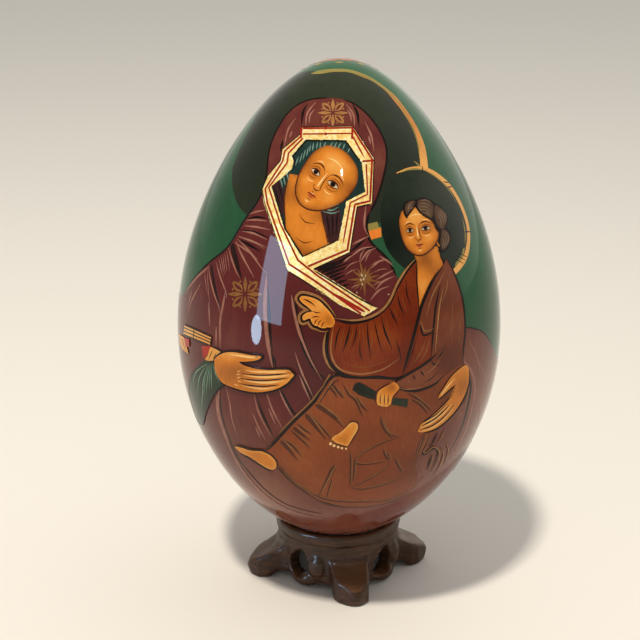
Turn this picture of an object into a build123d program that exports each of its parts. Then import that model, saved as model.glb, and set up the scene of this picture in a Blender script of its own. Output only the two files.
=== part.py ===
from build123d import *
from math import cos, radians, sin
import os

os.makedirs("parts", exist_ok=True)

# A large lacquered wooden icon egg, standing point up in a carved four-footed wooden ring.
# Millimetres. +Z is up, the origin is the middle of the footprint on the table,
# and the painted front of the egg faces -Y.

# ---- the egg's outer form ----
egg_width = 120.0
egg_height = 181.0
egg_taper = 0.124       # how much fuller the lower half is than the upper half
egg_fullness = 0.133    # how much the flanks fall away towards both ends
egg_base_z = 17.0       # height of the egg's lowest point above the table

# ---- the egg's layers, from the outside in ----
lacquer = 0.5
paint = 0.3
ground = 0.8
wood_wall = 8.0
leaf = 0.2              # gold leaf with its glue size, bedded between the coats of lacquer
leaf_cover = 0.15       # the lacquer over the leaf

# ---- the glued rabbet joint between the two turned cups ----
joint_z = 98.0
tongue_height = 6.0

# ---- the stand ----
stand_turn = 10.0       # the front foot points this far to the right of the painted front
seat_gap = 0.35
collar_radius = 24.4
collar_top_z = 23.0
waist_radius = 23.4
waist_z = 18.5
drum_radius = 23.0
skirt_radius = 21.6
lobe_lift = 0.8         # the lobes between the feet stop short of the table
bore_radius = 17.0      # the round hollow under the egg
seat_latitudes = (-69, -71, -73)   # where on the egg the dished seat begins, bends and ends
foot_reach = 36.0
foot_root_width = 15.0
foot_toe_width = 12.0
foot_shoulder_z = 18.0
toe_height = 9.0
arch_height = 4.5
window_radius = 4.2
window_low_z = 8.5
window_tip_z = 17.0
notch_radius = 2.6
notch_offset = 24.0     # degrees from a foot to the small arch beside it

# ---- gold leaf: the veil's border and the two halo rims, seen square from the front ----
veil_outline = [(-13, 168), (4, 168), (13, 157), (12, 141), (7, 139), (4, 123), (-9, 117),
                (-19, 117), (-29, 141), (-27, 147), (-22, 151), (-21, 159)]
veil_opening = [(-12, 163), (2, 163), (8, 155), (9, 145), (2, 141), (0, 127), (-12, 120),
                (-21, 135), (-25, 147), (-18, 153)]


def surface_point(latitude, inset):
    """A point of the egg's half section, a given depth below its outer surface."""
    swell = 1 - egg_taper * sin(latitude) - egg_fullness * sin(latitude) ** 2
    swell_slope = -(egg_taper + 2 * egg_fullness * sin(latitude)) * cos(latitude)
    radius = equator_scale * cos(latitude) * swell
    radius_slope = equator_scale * (cos(latitude) * swell_slope - sin(latitude) * swell)
    height = egg_height / 2 * (1 + sin(latitude))
    height_slope = egg_height / 2 * cos(latitude)
    length = (radius_slope**2 + height_slope**2) ** 0.5
    across = radius - inset * height_slope / length
    up = egg_base_z + height + inset * radius_slope / length
    return across, up


def widest_swell():
    """The largest value of the egg formula's radius for a unit scale."""
    sines = [step / 1000 for step in range(-999, 1000)]
    return max((1 - s * s) ** 0.5 * (1 - egg_taper * s - egg_fullness * s * s) for s in sines)


equator_scale = egg_width / 2 / widest_swell()


def half_section(inset, mode=Mode.ADD):
    """Half of the egg's section, from the axis out to the surface at this depth."""
    outline = [surface_point(radians(degrees), inset) for degrees in range(-90, 270, 15)]
    with BuildSketch() as section:
        with BuildLine():
            Spline(*outline, periodic=True)
        make_face()
        with Locations((0, egg_base_z)):
            Rectangle(egg_height, 3 * egg_height, align=(Align.MAX, Align.CENTER), mode=Mode.SUBTRACT)
    add(section.sketch, mode=mode)


def layer_section(outer_inset, inner_inset):
    """The section of one layer of the egg, between two depths."""
    half_section(outer_inset)
    half_section(inner_inset, mode=Mode.SUBTRACT)


paint_top = lacquer
ground_top = paint_top + paint
wood_top = ground_top + ground
hollow_top = wood_top + wood_wall
rabbet_radius = egg_width / 2 - wood_top - wood_wall / 2
reach = egg_width

# ---- lower cup: turned limewood, its tongue standing up inside the joint ----
with BuildPart() as egg_lower_cup:
    with BuildSketch(Plane.XZ):
        layer_section(wood_top, hollow_top)
        with Locations((rabbet_radius, joint_z)):
            Rectangle(reach, reach, align=(Align.MIN, Align.MIN), mode=Mode.SUBTRACT)
        with Locations((0, joint_z + tongue_height)):
            Rectangle(reach, reach, align=(Align.MIN, Align.MIN), mode=Mode.SUBTRACT)
    revolve(axis=Axis.Z)
egg_lower_cup.part.label = "egg_lower_cup"
export_step(egg_lower_cup.part, "parts/egg_lower_cup.step")

# ---- upper cup: its rebate fits over the tongue ----
with BuildPart() as egg_upper_cup:
    with BuildSketch(Plane.XZ):
        layer_section(wood_top, hollow_top)
        with Locations((0, joint_z)):
            Rectangle(reach, reach, align=(Align.MIN, Align.MAX), mode=Mode.SUBTRACT)
        with Locations((rabbet_radius, joint_z + tongue_height)):
            Rectangle(reach, tongue_height, align=(Align.MAX, Align.MAX), mode=Mode.SUBTRACT)
    revolve(axis=Axis.Z)
egg_upper_cup.part.label = "egg_upper_cup"
export_step(egg_upper_cup.part, "parts/egg_upper_cup.step")

# ---- chalk ground over the joined cups ----
with BuildPart() as ground_coat:
    with BuildSketch(Plane.XZ):
        layer_section(ground_top, wood_top)
    revolve(axis=Axis.Z)
ground_coat.part.label = "ground_coat"
export_step(ground_coat.part, "parts/ground_coat.step")

# ---- the painted layer ----
with BuildPart() as paint_film:
    with BuildSketch(Plane.XZ):
        layer_section(paint_top, ground_top)
    revolve(axis=Axis.Z)
paint_film.part.label = "paint_film"
export_step(paint_film.part, "parts/paint_film.step")

# ---- gold leaf: only the veil's border of a thin shell is kept ----
with BuildPart() as gold_leaf:
    with BuildSketch(Plane.XZ):
        layer_section(leaf_cover, leaf_cover + leaf)
    revolve(axis=Axis.Z)
    with BuildSketch(Plane.XZ):
        with BuildLine():
            Polyline(*veil_outline, close=True)
        make_face()
        with BuildLine():
            Polyline(*veil_opening, close=True)
        make_face(mode=Mode.SUBTRACT)
    extrude(amount=egg_width, mode=Mode.INTERSECT)
gold_leaf.part.label = "gold_leaf"
export_step(gold_leaf.part, "parts/gold_leaf.step")

# ---- clear lacquer: the leaf lies between its coats ----
with BuildPart() as lacquer_coat:
    with BuildSketch(Plane.XZ):
        layer_section(0, paint_top)
    revolve(axis=Axis.Z)
    add(gold_leaf.part, mode=Mode.SUBTRACT)
lacquer_coat.part.label = "lacquer_coat"
export_step(lacquer_coat.part, "parts/lacquer_coat.step")

# ---- one foot of the stand, pointing along +X, used four times below ----
with BuildPart() as foot:
    with BuildSketch(Plane.XZ):
        with BuildLine():
            top_of_toe = (foot_reach - 4, toe_height)
            tip = (foot_reach, toe_height * 0.4)
            Spline((bore_radius + 3, foot_shoulder_z), (waist_radius + 3, foot_shoulder_z - 3), top_of_toe)
            Spline(top_of_toe, tip, (foot_reach - 2, 0))
            Line((foot_reach - 2, 0), (foot_reach - 10, 0))
            Spline((foot_reach - 10, 0), (drum_radius, arch_height), (bore_radius + 3, arch_height))
            Line((bore_radius + 3, arch_height), (bore_radius + 3, foot_shoulder_z))
        make_face()
    extrude(amount=foot_root_width / 2, both=True)
    with BuildSketch(Plane.XY):
        with BuildLine():
            Polyline(
                (0, -foot_root_width / 2),
                (drum_radius, -foot_root_width / 2),
                (foot_reach - 3, -foot_toe_width / 2),
                (foot_reach, -foot_toe_width / 4),
                (foot_reach, foot_toe_width / 4),
                (foot_reach - 3, foot_toe_width / 2),
                (drum_radius, foot_root_width / 2),
                (0, foot_root_width / 2),
                close=True,
            )
        make_face()
    extrude(amount=foot_shoulder_z, mode=Mode.INTERSECT)

# ---- the stand: a ring with a dished seat, four feet and four pierced windows ----
seat_points = [surface_point(radians(degrees), -seat_gap) for degrees in seat_latitudes]
seat_outer, seat_middle, seat_inner = seat_points
front_foot = stand_turn - 90
with BuildPart() as stand:
    with BuildSketch(Plane.XZ):
        with BuildLine():
            Polyline(
                (seat_inner[0], lobe_lift),
                (skirt_radius, lobe_lift),
                (drum_radius, 7),
                (waist_radius, waist_z),
                (collar_radius, waist_z + 2),
                (collar_radius, collar_top_z - 1),
                (collar_radius - 0.8, collar_top_z),
                seat_outer,
            )
            Spline(seat_outer, seat_middle, seat_inner)
            Line(seat_inner, (seat_inner[0], lobe_lift))
        make_face()
    revolve(axis=Axis.Z)
    with PolarLocations(0, 4, start_angle=front_foot):
        add(foot.part)
    for quarter in range(4):
        window_plane = Plane.YZ.rotated((0, 0, front_foot + 45 + 90 * quarter))
        with BuildSketch(window_plane):
            with Locations((0, window_low_z)):
                Circle(window_radius)
            with BuildLine():
                Polyline(
                    (-window_radius * 0.9, window_low_z + window_radius * 0.4),
                    (window_radius * 0.9, window_low_z + window_radius * 0.4),
                    (0, window_tip_z),
                    close=True,
                )
            make_face()
        extrude(amount=foot_reach, mode=Mode.SUBTRACT)
    for quarter in range(4):
        for side in (-notch_offset, notch_offset):
            with BuildSketch(Plane.YZ.rotated((0, 0, front_foot + 90 * quarter + side))):
                Circle(notch_radius)
            extrude(amount=skirt_radius + 2, mode=Mode.SUBTRACT)
stand.part.label = "stand"
export_step(stand.part, "parts/stand.step")

egg_top_z = egg_base_z + egg_height
print("egg top", round(egg_top_z, 2), "seat", [round(v, 2) for v in seat_outer + seat_inner])
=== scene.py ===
import math

import bpy
import numpy as np
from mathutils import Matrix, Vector
from mathutils.geometry import delaunay_2d_cdt
from mathutils.kdtree import KDTree


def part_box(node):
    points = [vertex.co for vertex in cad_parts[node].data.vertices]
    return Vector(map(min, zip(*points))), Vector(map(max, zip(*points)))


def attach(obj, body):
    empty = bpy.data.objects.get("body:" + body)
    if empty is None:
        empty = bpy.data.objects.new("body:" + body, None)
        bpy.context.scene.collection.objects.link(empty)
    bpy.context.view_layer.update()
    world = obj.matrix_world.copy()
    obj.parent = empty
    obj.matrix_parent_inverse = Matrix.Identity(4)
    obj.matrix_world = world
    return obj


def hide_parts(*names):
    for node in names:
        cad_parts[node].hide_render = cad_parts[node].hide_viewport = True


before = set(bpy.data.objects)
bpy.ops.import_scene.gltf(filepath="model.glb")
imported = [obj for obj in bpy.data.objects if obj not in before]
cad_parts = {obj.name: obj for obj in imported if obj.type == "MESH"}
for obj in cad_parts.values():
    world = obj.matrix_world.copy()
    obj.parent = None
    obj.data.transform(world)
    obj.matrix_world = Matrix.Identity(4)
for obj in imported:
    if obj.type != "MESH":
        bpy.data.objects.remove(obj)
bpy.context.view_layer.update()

# A lacquered wooden icon egg in a carved ring. The picture on it is built as thin layers of paint,
# each one a closed slab lying on the egg, from the ground colours up to the finest lines.
# Lengths are millimetres until a mesh is written, and metres in Blender.

MM = 0.001
EGG_LOW, EGG_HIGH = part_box("lacquer_coat")
EGG_BASE = EGG_LOW[2] / MM
EGG_HEIGHT = (EGG_HIGH[2] - EGG_LOW[2]) / MM
EGG_WIDTH = 120.0        # the mesh box is a hair narrower than the true width
EGG_TAPER = 0.124        # the same form as the CAD egg: how much fuller the lower half is
EGG_FULLNESS = 0.133     # how much the flanks fall away towards both ends

LAYER_STEP = 0.025       # each layer of paint lies this much above the one before
SLAB_DEPTH = 0.12        # a layer's slab reaches this far down, into the layers under it
TINY = 1e-6


# ---------------------------------------------------------------- the egg's surface

def swell(sine):
    return 1 - EGG_TAPER * sine - EGG_FULLNESS * sine**2


SINES = np.linspace(-1, 1, 2001)
EQUATOR = EGG_WIDTH / 2 / (np.sqrt(1 - SINES**2) * swell(SINES)).max()


def meridian(latitude):
    """Radius, height and outward normal (across, up) of the egg at each latitude."""
    sine, cosine = np.sin(latitude), np.cos(latitude)
    radius = EQUATOR * cosine * swell(sine)
    slope = EQUATOR * (-sine * swell(sine) - cosine**2 * (EGG_TAPER + 2 * EGG_FULLNESS * sine))
    rise = EGG_HEIGHT / 2 * cosine
    length = np.hypot(slope, rise)
    return radius, EGG_BASE + EGG_HEIGHT / 2 * (1 + sine), rise / length, -slope / length


LATITUDES = np.linspace(-math.pi / 2, math.pi / 2, 3001)
RADII, HEIGHTS = meridian(LATITUDES)[:2]
ARCS = np.concatenate([[0], np.cumsum(np.hypot(np.diff(RADII), np.diff(HEIGHTS)))])


def latitude_at(height):
    return np.interp(height, HEIGHTS, LATITUDES)


PLAN_EDGE = 0.3          # a plan from above is good down to this latitude
POLE_RADIUS = 0.01       # the least radius that a turn is worked out for


class Chart:
    """Flat millimetres for one shape on the egg.

    Across is measured along the parallel from the shape's middle meridian, and up along the meridian.
    A shape over the pole uses its plan instead: plain x and y from above."""

    def __init__(self, places, plan=False):
        self.middle, self.plan = places[:, 0].mean(), plan

    def flat(self, places):
        radius = meridian(places[:, 1])[0]
        if self.plan:
            return np.stack([radius * np.sin(places[:, 0]), -radius * np.cos(places[:, 0])], 1)
        return np.stack([(places[:, 0] - self.middle) * radius, np.interp(places[:, 1], LATITUDES, ARCS)], 1)

    def places(self, flat):
        if self.plan:
            upper = LATITUDES > PLAN_EDGE
            distance = np.hypot(flat[:, 0], flat[:, 1])
            latitude = np.interp(-distance, -RADII[upper], LATITUDES[upper])
            return np.stack([np.arctan2(flat[:, 0], -flat[:, 1]), latitude], 1)
        latitude = np.interp(flat[:, 1], ARCS, LATITUDES)
        radius = np.maximum(meridian(latitude)[0], POLE_RADIUS)
        return np.stack([self.middle + flat[:, 0] / radius, latitude], 1)


def on_egg(places, lift=0.0):
    """Points and normals on the egg at (longitude, latitude); longitude 0 is the front, -Y."""
    radius, height, across, up = meridian(places[:, 1])
    sine, cosine = np.sin(places[:, 0]), np.cos(places[:, 0])
    reach = radius + lift * across
    points = np.stack([reach * sine, -reach * cosine, height + lift * up], 1)
    return points, np.stack([across * sine, -across * cosine, up], 1)


# ---------------------------------------------------------------- the picture plane

EYE = np.array([0.0, -500.0, 260.0])
AIM_HEIGHT = 101.0
PICTURE_CENTRE = np.array([0.0, 0.0, 107.0])     # on the egg's axis
FORWARD = np.array([0.0, -EYE[1], AIM_HEIGHT - EYE[2]])
FORWARD /= np.linalg.norm(FORWARD)
RIGHT = np.array([1.0, 0.0, 0.0])
UP = np.cross(RIGHT, FORWARD)
SIGHT_STEPS = np.linspace(380.0, 660.0, 281)     # from the eye: just before the egg to well behind it
SIGHT_HALVINGS = 24      # of the step that meets the egg
NO_EGG = -9              # the radius above and below the egg
LEAST_RADIUS = 5         # what is missed near the poles still turns only a little


def picture_of(points):
    """Where points stand in the front picture: millimetres right and up of the egg's middle."""
    ray = points - EYE
    depth = ray @ FORWARD
    middle = PICTURE_CENTRE - EYE
    scale = (middle @ FORWARD) / depth
    return np.stack([ray @ RIGHT * scale, ray @ UP * scale - middle @ UP], 1)


def cast(picture):
    """(Longitude, latitude) of the place on the egg seen at each picture point.

    A point just outside the outline goes on round the egg by as much as it misses."""
    picture = np.asarray(picture, float)
    target = PICTURE_CENTRE + picture[:, :1] * RIGHT + picture[:, 1:] * UP
    ray = target - EYE
    ray /= np.linalg.norm(ray, axis=1, keepdims=True)
    points = EYE + ray[:, None, :] * SIGHT_STEPS[None, :, None]
    height = points[..., 2]
    radius = np.interp(height, HEIGHTS, RADII, left=NO_EGG, right=NO_EGG)
    gap = np.hypot(points[..., 0], points[..., 1]) - radius
    gap = np.where(height > HEIGHTS[-1], gap + height - HEIGHTS[-1], gap)
    inside = gap < 0
    hit = inside.any(1)
    first = np.where(hit, inside.argmax(1), gap.argmin(1))
    low, high = SIGHT_STEPS[np.maximum(first - 1, 0)], SIGHT_STEPS[first]
    for _ in range(SIGHT_HALVINGS):
        middle = (low + high) / 2
        at = EYE + ray * middle[:, None]
        out = np.hypot(at[:, 0], at[:, 1]) > np.interp(at[:, 2], HEIGHTS, RADII)
        low, high = np.where(out, middle, low), np.where(out, high, middle)
    at = EYE + ray * np.where(hit, high, SIGHT_STEPS[first])[:, None]
    longitude = np.arctan2(at[:, 0], -at[:, 1])
    miss = np.where(hit, 0, gap.min(1))
    latitude = latitude_at(at[:, 2])
    longitude = longitude + np.sign(longitude) * miss / np.maximum(meridian(latitude)[0], LEAST_RADIUS)
    return np.stack([longitude, latitude], 1)


def smooth(points, step=1.0, closed=False):
    """Points along a Catmull-Rom curve through the given ones, about a step apart."""
    points = [np.asarray(p, float) for p in points]
    if closed:
        knots = [points[-1]] + points + points[:2]
    else:
        knots = [2 * points[0] - points[1]] + points + [2 * points[-1] - points[-2]]
    out = []
    for a, b, c, d in zip(knots, knots[1:], knots[2:], knots[3:]):
        count = max(2, int(np.linalg.norm(c - b) / step) + 1)
        for t in np.arange(count) / count:
            out.append(0.5 * (2 * b + (c - a) * t + (2 * a - 5 * b + 4 * c - d) * t**2
                              + (3 * b - a - 3 * c + d) * t**3))
    if not closed:
        out.append(points[-1])
    return np.array(out)


def straight(points, step=1.0, closed=False):
    """Points along straight runs through the given ones, about a step apart."""
    points = [np.asarray(p, float) for p in points]
    ends = points[1:] + points[:1] if closed else points[1:]
    out = []
    for a, b in zip(points, ends):
        count = max(1, int(np.linalg.norm(b - a) / step))
        out += [a + (b - a) * t for t in np.arange(count) / count]
    if not closed:
        out.append(points[-1])
    return np.array(out)


def seen(points, step=1.0):
    """A smooth line through picture points, laid on the egg."""
    return cast(smooth(points, step))


def seen_straight(points, step=1.0):
    return cast(straight(points, step))


def ring(points, step=1.0):
    """A smooth closed outline through picture points, laid on the egg."""
    return cast(smooth(points, step, closed=True))


def corners(points, step=1.0):
    """A closed outline with sharp corners, laid on the egg."""
    return cast(straight(points, step, closed=True))


USUAL_RADIUS = 55        # turns a bearing into millimetres while a line round the egg is smoothed


def around(points, step=2.0):
    """A smooth line through (degrees round from the front, height) on the egg."""
    line = smooth([(math.radians(degrees) * USUAL_RADIUS, height) for degrees, height in points], step)
    return np.stack([line[:, 0] / USUAL_RADIUS, latitude_at(line[:, 1])], 1)


def join(*lines):
    return np.concatenate(lines)


# ---------------------------------------------------------------- meshes on the egg

LAYERS = ("ground", "halo", "halo_rim", "child_halo", "child_rim", "robe", "robe_dark", "robe_light",
          "cap", "cap_light", "skin", "skin_dark", "skin_light", "gold", "gold_line",
          "coat", "coat_dark", "coat_light", "mantle", "mantle_dark", "mantle_light", "arm", "arm_dark",
          "arm_light", "hand", "hand_dark", "hand_light")


def lift_of(layer):
    return LAYER_STEP * (1 + LAYERS.index(layer))


def make_object(name, points, faces, normals, paint, body, tones=None):
    mesh = bpy.data.meshes.new(name)
    mesh.from_pydata((np.asarray(points) * MM).tolist(), [], faces)
    mesh.polygons.foreach_set("use_smooth", [True] * len(mesh.polygons))
    if normals is not None:
        mesh.normals_split_custom_set_from_vertices(np.asarray(normals).tolist())
    if tones is not None:
        layer = mesh.attributes.new("tone", "FLOAT", "POINT")
        layer.data.foreach_set("value", np.asarray(tones, float))
    mesh.materials.append(PAINTS[paint])
    piece = bpy.data.objects.new(name, mesh)
    bpy.context.collection.objects.link(piece)
    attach(piece, body)
    return piece


def slab(name, places, triangles, layer, paint, tones):
    """A closed thin slab on the egg, from triangles that face outwards."""
    lift = lift_of(layer)
    top, normal = on_egg(places, lift)
    bottom = on_egg(places, lift - SLAB_DEPTH)[0]
    count = len(places)
    sides = {}
    for a, b, c in triangles:
        for edge in ((a, b), (b, c), (c, a)):
            sides[edge] = True
    walls = [(a, a + count, b + count, b) for a, b in sides if (b, a) not in sides]
    faces = [tuple(t) for t in triangles] + [(c + count, b + count, a + count) for a, b, c in triangles]
    tones = np.concatenate([tones, tones])
    return make_object(name, np.concatenate([top, bottom]), faces + walls,
                       np.concatenate([normal, -normal]), paint, "egg", tones)


def inside_loops(points, loops):
    """Even-odd test of flat points against closed loops."""
    inside = np.zeros(len(points), bool)
    for loop in loops:
        following = np.roll(loop, -1, axis=0)
        for (ax, ay), (bx, by) in zip(loop, following):
            if ay == by:
                continue
            crosses = (ay > points[:, 1]) != (by > points[:, 1])
            inside ^= crosses & (points[:, 0] < (bx - ax) * (points[:, 1] - ay) / (by - ay) + ax)
    return inside


def spots(*spots_list):
    """A shading function: soft round spots (right, up, radius, strength) in the picture."""
    def shade(picture):
        total = np.zeros(len(picture))
        for right, up, radius, strength in spots_list:
            distance = np.hypot(picture[:, 0] - right, picture[:, 1] - up)
            total += strength * np.exp(-(distance / radius) ** 2)
        return total
    return shade


def even(strength):
    """A shading function: the same tone everywhere."""
    return lambda picture: np.full(len(picture), strength)


ROW_PITCH = 0.87         # of the spacing: the height of an even triangle
EDGE_ROOM = 0.45         # of the spacing: how near the edge an inner point may lie
WELD = 1e-5              # flat points closer than this are one


def fill(name, loops, layer, paint, spacing=1.6, tone=None, rim=0.0, rim_width=1.5, plan=False):
    """A flat-coloured shape: closed outlines, the first one outer and the others holes."""
    loops = loops if isinstance(loops, list) else [loops]
    chart = Chart(loops[0], plan)
    loops = [chart.flat(loop) for loop in loops]
    border = np.concatenate(loops)
    low, high = border.min(0), border.max(0)
    rows = np.arange(low[1], high[1], spacing * ROW_PITCH)
    grid = np.array([(x + (i % 2) * spacing / 2, y) for i, y in enumerate(rows)
                     for x in np.arange(low[0], high[0], spacing)])
    tree = KDTree(len(border))
    for index, (x, y) in enumerate(border):
        tree.insert((x, y, 0), index)
    tree.balance()
    if len(grid):
        grid = grid[inside_loops(grid, loops)]
    if len(grid):
        grid = grid[[tree.find((x, y, 0))[2] > spacing * EDGE_ROOM for x, y in grid]]
    edges, start = [], 0
    for loop in loops:
        edges += [(start + i, start + (i + 1) % len(loop)) for i in range(len(loop))]
        start += len(loop)
    flat = np.concatenate([border, grid]) if len(grid) else border
    result = delaunay_2d_cdt([Vector(p) for p in flat], edges, [], 0, WELD)
    vertices = np.array([tuple(v) for v in result[0]])
    triangles = np.array(result[2])
    centres = vertices[triangles].mean(1)
    triangles = triangles[inside_loops(centres, loops)]
    a, b, c = (vertices[triangles[:, k]] for k in range(3))
    area = (b[:, 0] - a[:, 0]) * (c[:, 1] - a[:, 1]) - (b[:, 1] - a[:, 1]) * (c[:, 0] - a[:, 0])
    triangles = triangles[np.abs(area) > TINY]
    area = area[np.abs(area) > TINY]
    triangles[area < 0] = triangles[area < 0][:, ::-1]
    used, triangles = np.unique(triangles, return_inverse=True)
    triangles = triangles.reshape(-1, 3)
    places = chart.places(vertices[used])
    tones = np.zeros(len(places))
    if tone:
        tones = tone(picture_of(on_egg(places)[0]))
    if rim:
        distance = np.array([tree.find((x, y, 0))[2] for x, y in vertices[used]])
        tones = tones + rim * np.exp(-distance / rim_width)
    return slab(name, places, triangles.tolist(), layer, paint, tones)


USUAL_STROKE = (0.5, 0.5, 0.0)    # the start taper, end taper and tone of a stroke that names none
THIN_END = 0.08          # of the width: what is left at a tapered end
TAPER_POWER = 0.7


def strokes(name, lines, layer, paint, plan=False):
    """Brush strokes: each one (line, width) or (line, width, start taper, end taper, tone).

    A line is either an array of places on the egg or a list of picture points to run smoothly through."""
    points, normals, faces, tones = [], [], [], []
    lift = lift_of(layer)
    for line, width, *rest in lines:
        start_taper, end_taper, tone = (*rest, *USUAL_STROKE[len(rest):])
        if isinstance(line, list):
            line = seen(line)
        chart = Chart(line, plan)
        flat = chart.flat(line)
        run = np.concatenate([[0], np.cumsum(np.hypot(*np.diff(flat, axis=0).T))])
        share = run / max(run[-1], TINY)
        thick = np.full(len(flat), width / 2)
        if start_taper:
            thick = thick * np.clip(share / start_taper, THIN_END, 1) ** TAPER_POWER
        if end_taper:
            thick = thick * np.clip((1 - share) / end_taper, THIN_END, 1) ** TAPER_POWER
        along = np.gradient(flat, axis=0)
        along /= np.maximum(np.hypot(along[:, 0], along[:, 1]), TINY)[:, None]
        side = np.stack([-along[:, 1], along[:, 0]], 1) * thick[:, None]
        left, right = chart.places(flat + side), chart.places(flat - side)
        top_left, normal_left = on_egg(left, lift)
        top_right, normal_right = on_egg(right, lift)
        low_left = on_egg(left, lift - SLAB_DEPTH)[0]
        low_right = on_egg(right, lift - SLAB_DEPTH)[0]
        start, count = len(points), len(flat)
        for i in range(count):
            points += [top_left[i], top_right[i], low_right[i], low_left[i]]
            normals += [normal_left[i], normal_right[i], normal_right[i], normal_left[i]]
        tones += [tone] * (4 * count)
        for i in range(count - 1):
            a, b = start + 4 * i, start + 4 * i + 4
            faces += [(a + k, a + (k + 1) % 4, b + (k + 1) % 4, b + k) for k in range(4)]
        last = start + 4 * count - 4
        faces += [(start + 3, start + 2, start + 1, start), (last, last + 1, last + 2, last + 3)]
    return make_object(name, points, faces, normals, paint, "egg", tones)


# ---------------------------------------------------------------- materials

PAINTS, SLOTS = {}, {}


def colour(red, green, blue):
    """A linear colour from ordinary 0-255 screen values."""
    channels = [c / 255 for c in (red, green, blue)]
    return tuple(c / 12.92 if c <= 0.04045 else ((c + 0.055) / 1.055) ** 2.4 for c in channels) + (1.0,)


class Nodes:
    """A small helper that adds nodes to one material and links them."""

    def __init__(self, name, slot):
        self.material = bpy.data.materials.new(name)
        self.material.use_nodes = True
        self.tree = self.material.node_tree
        self.shader = self.tree.nodes["Principled BSDF"]
        PAINTS[name] = self.material
        SLOTS[name] = slot

    def add(self, kind, **settings):
        node = self.tree.nodes.new("ShaderNode" + kind)
        for key, value in settings.items():
            setattr(node, key, value)
        return node

    def link(self, source, target):
        self.tree.links.new(source, target)

    def coordinates(self, scale):
        """Object coordinates in units of 1/scale of a millimetre."""
        place = self.add("TexCoord")
        mapping = self.add("Mapping")
        mapping.inputs["Scale"].default_value = tuple(s / MM for s in scale)
        self.link(place.outputs["Object"], mapping.inputs["Vector"])
        return mapping.outputs["Vector"]

    def noise(self, scale, detail=3.0, stretch=(1, 1, 1)):
        node = self.add("TexNoise")
        node.inputs["Scale"].default_value = 1.0
        node.inputs["Detail"].default_value = detail
        self.link(self.coordinates([scale * s for s in stretch]), node.inputs["Vector"])
        return node.outputs["Fac"]

    def math(self, operation, first, second):
        node = self.add("Math", operation=operation)
        for socket, value in zip(node.inputs, (first, second)):
            if isinstance(value, (int, float)):
                socket.default_value = value
            else:
                self.link(value, socket)
        return node.outputs[0]

    def ramp(self, factor, stops):
        node = self.add("ValToRGB")
        node.color_ramp.elements[0].position = stops[0][0]
        node.color_ramp.elements[0].color = stops[0][1]
        node.color_ramp.elements[1].position = stops[-1][0]
        node.color_ramp.elements[1].color = stops[-1][1]
        for position, value in stops[1:-1]:
            node.color_ramp.elements.new(position).color = value
        self.link(factor, node.inputs["Fac"])
        return node.outputs["Color"]

    def bump(self, height, strength, distance, target="Normal"):
        node = self.add("Bump")
        node.inputs["Strength"].default_value = strength
        node.inputs["Distance"].default_value = distance * MM
        self.link(height, node.inputs["Height"])
        self.link(node.outputs["Normal"], self.shader.inputs[target])

    def set(self, **values):
        for key, value in values.items():
            self.shader.inputs[key.replace("_", " ")].default_value = value


COAT_INDEX = 1.3         # an old natural-resin varnish is a little less shiny than glass


def lacquered(nodes, roughness=0.42, coat_roughness=0.035):
    """The clear gloss coat over every layer of the egg."""
    nodes.set(Roughness=roughness, Coat_Weight=1.0, Coat_Roughness=coat_roughness, Coat_IOR=COAT_INDEX,
              Specular_IOR_Level=0.0)
    nodes.bump(nodes.noise(0.05, 1.0), 0.25, 0.05, "Coat Normal")


def enamel(name, dark, middle, light, grain=0.35, scale=0.25, stretch=(1, 1, 0.35), roughness=0.42):
    """Hand-laid paint: the tone painted on the piece, broken by the brush, from dark to light."""
    nodes = Nodes(name, "egg_paint")
    tone = nodes.add("Attribute", attribute_name="tone").outputs["Fac"]
    broad = nodes.math("MULTIPLY", nodes.math("SUBTRACT", nodes.noise(scale, 2.0), 0.5), grain * 1.6)
    fine = nodes.noise(scale * 7, 3.0, stretch)
    brush = nodes.math("MULTIPLY", nodes.math("SUBTRACT", fine, 0.5), grain * 1.4)
    total = nodes.math("ADD", nodes.math("ADD", tone, broad), brush)
    place = nodes.math("MULTIPLY_ADD", total, 0.5)
    place.node.inputs[2].default_value = 0.5
    base = nodes.ramp(place, [(0.0, colour(*dark)), (0.5, colour(*middle)), (1.0, colour(*light))])
    nodes.link(base, nodes.shader.inputs["Base Color"])
    nodes.bump(fine, 0.15, 0.02)
    lacquered(nodes, roughness)


def gold_leaf_paint():
    """Metal leaf under lacquer: bright, crinkled, wearing through here and there to its warm ground."""
    nodes = Nodes("gold_leaf", "gold_leaf")
    crinkle = nodes.noise(0.9, 4.0)
    wear = nodes.noise(0.35, 3.0)
    mixed = nodes.math("ADD", nodes.math("MULTIPLY", crinkle, 0.6), nodes.math("MULTIPLY", wear, 0.4))
    base = nodes.ramp(mixed, [(0.24, colour(172, 108, 42)), (0.38, colour(240, 196, 110)),
                              (0.52, colour(254, 232, 156)), (0.66, colour(255, 248, 212))])
    nodes.link(base, nodes.shader.inputs["Base Color"])
    nodes.set(Metallic=0.3)
    nodes.bump(nodes.noise(1.6, 5.0), 0.55, 0.12)
    lacquered(nodes, 0.42)


BORE_RADIUS = 17.3       # the open middle of the stand


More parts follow.
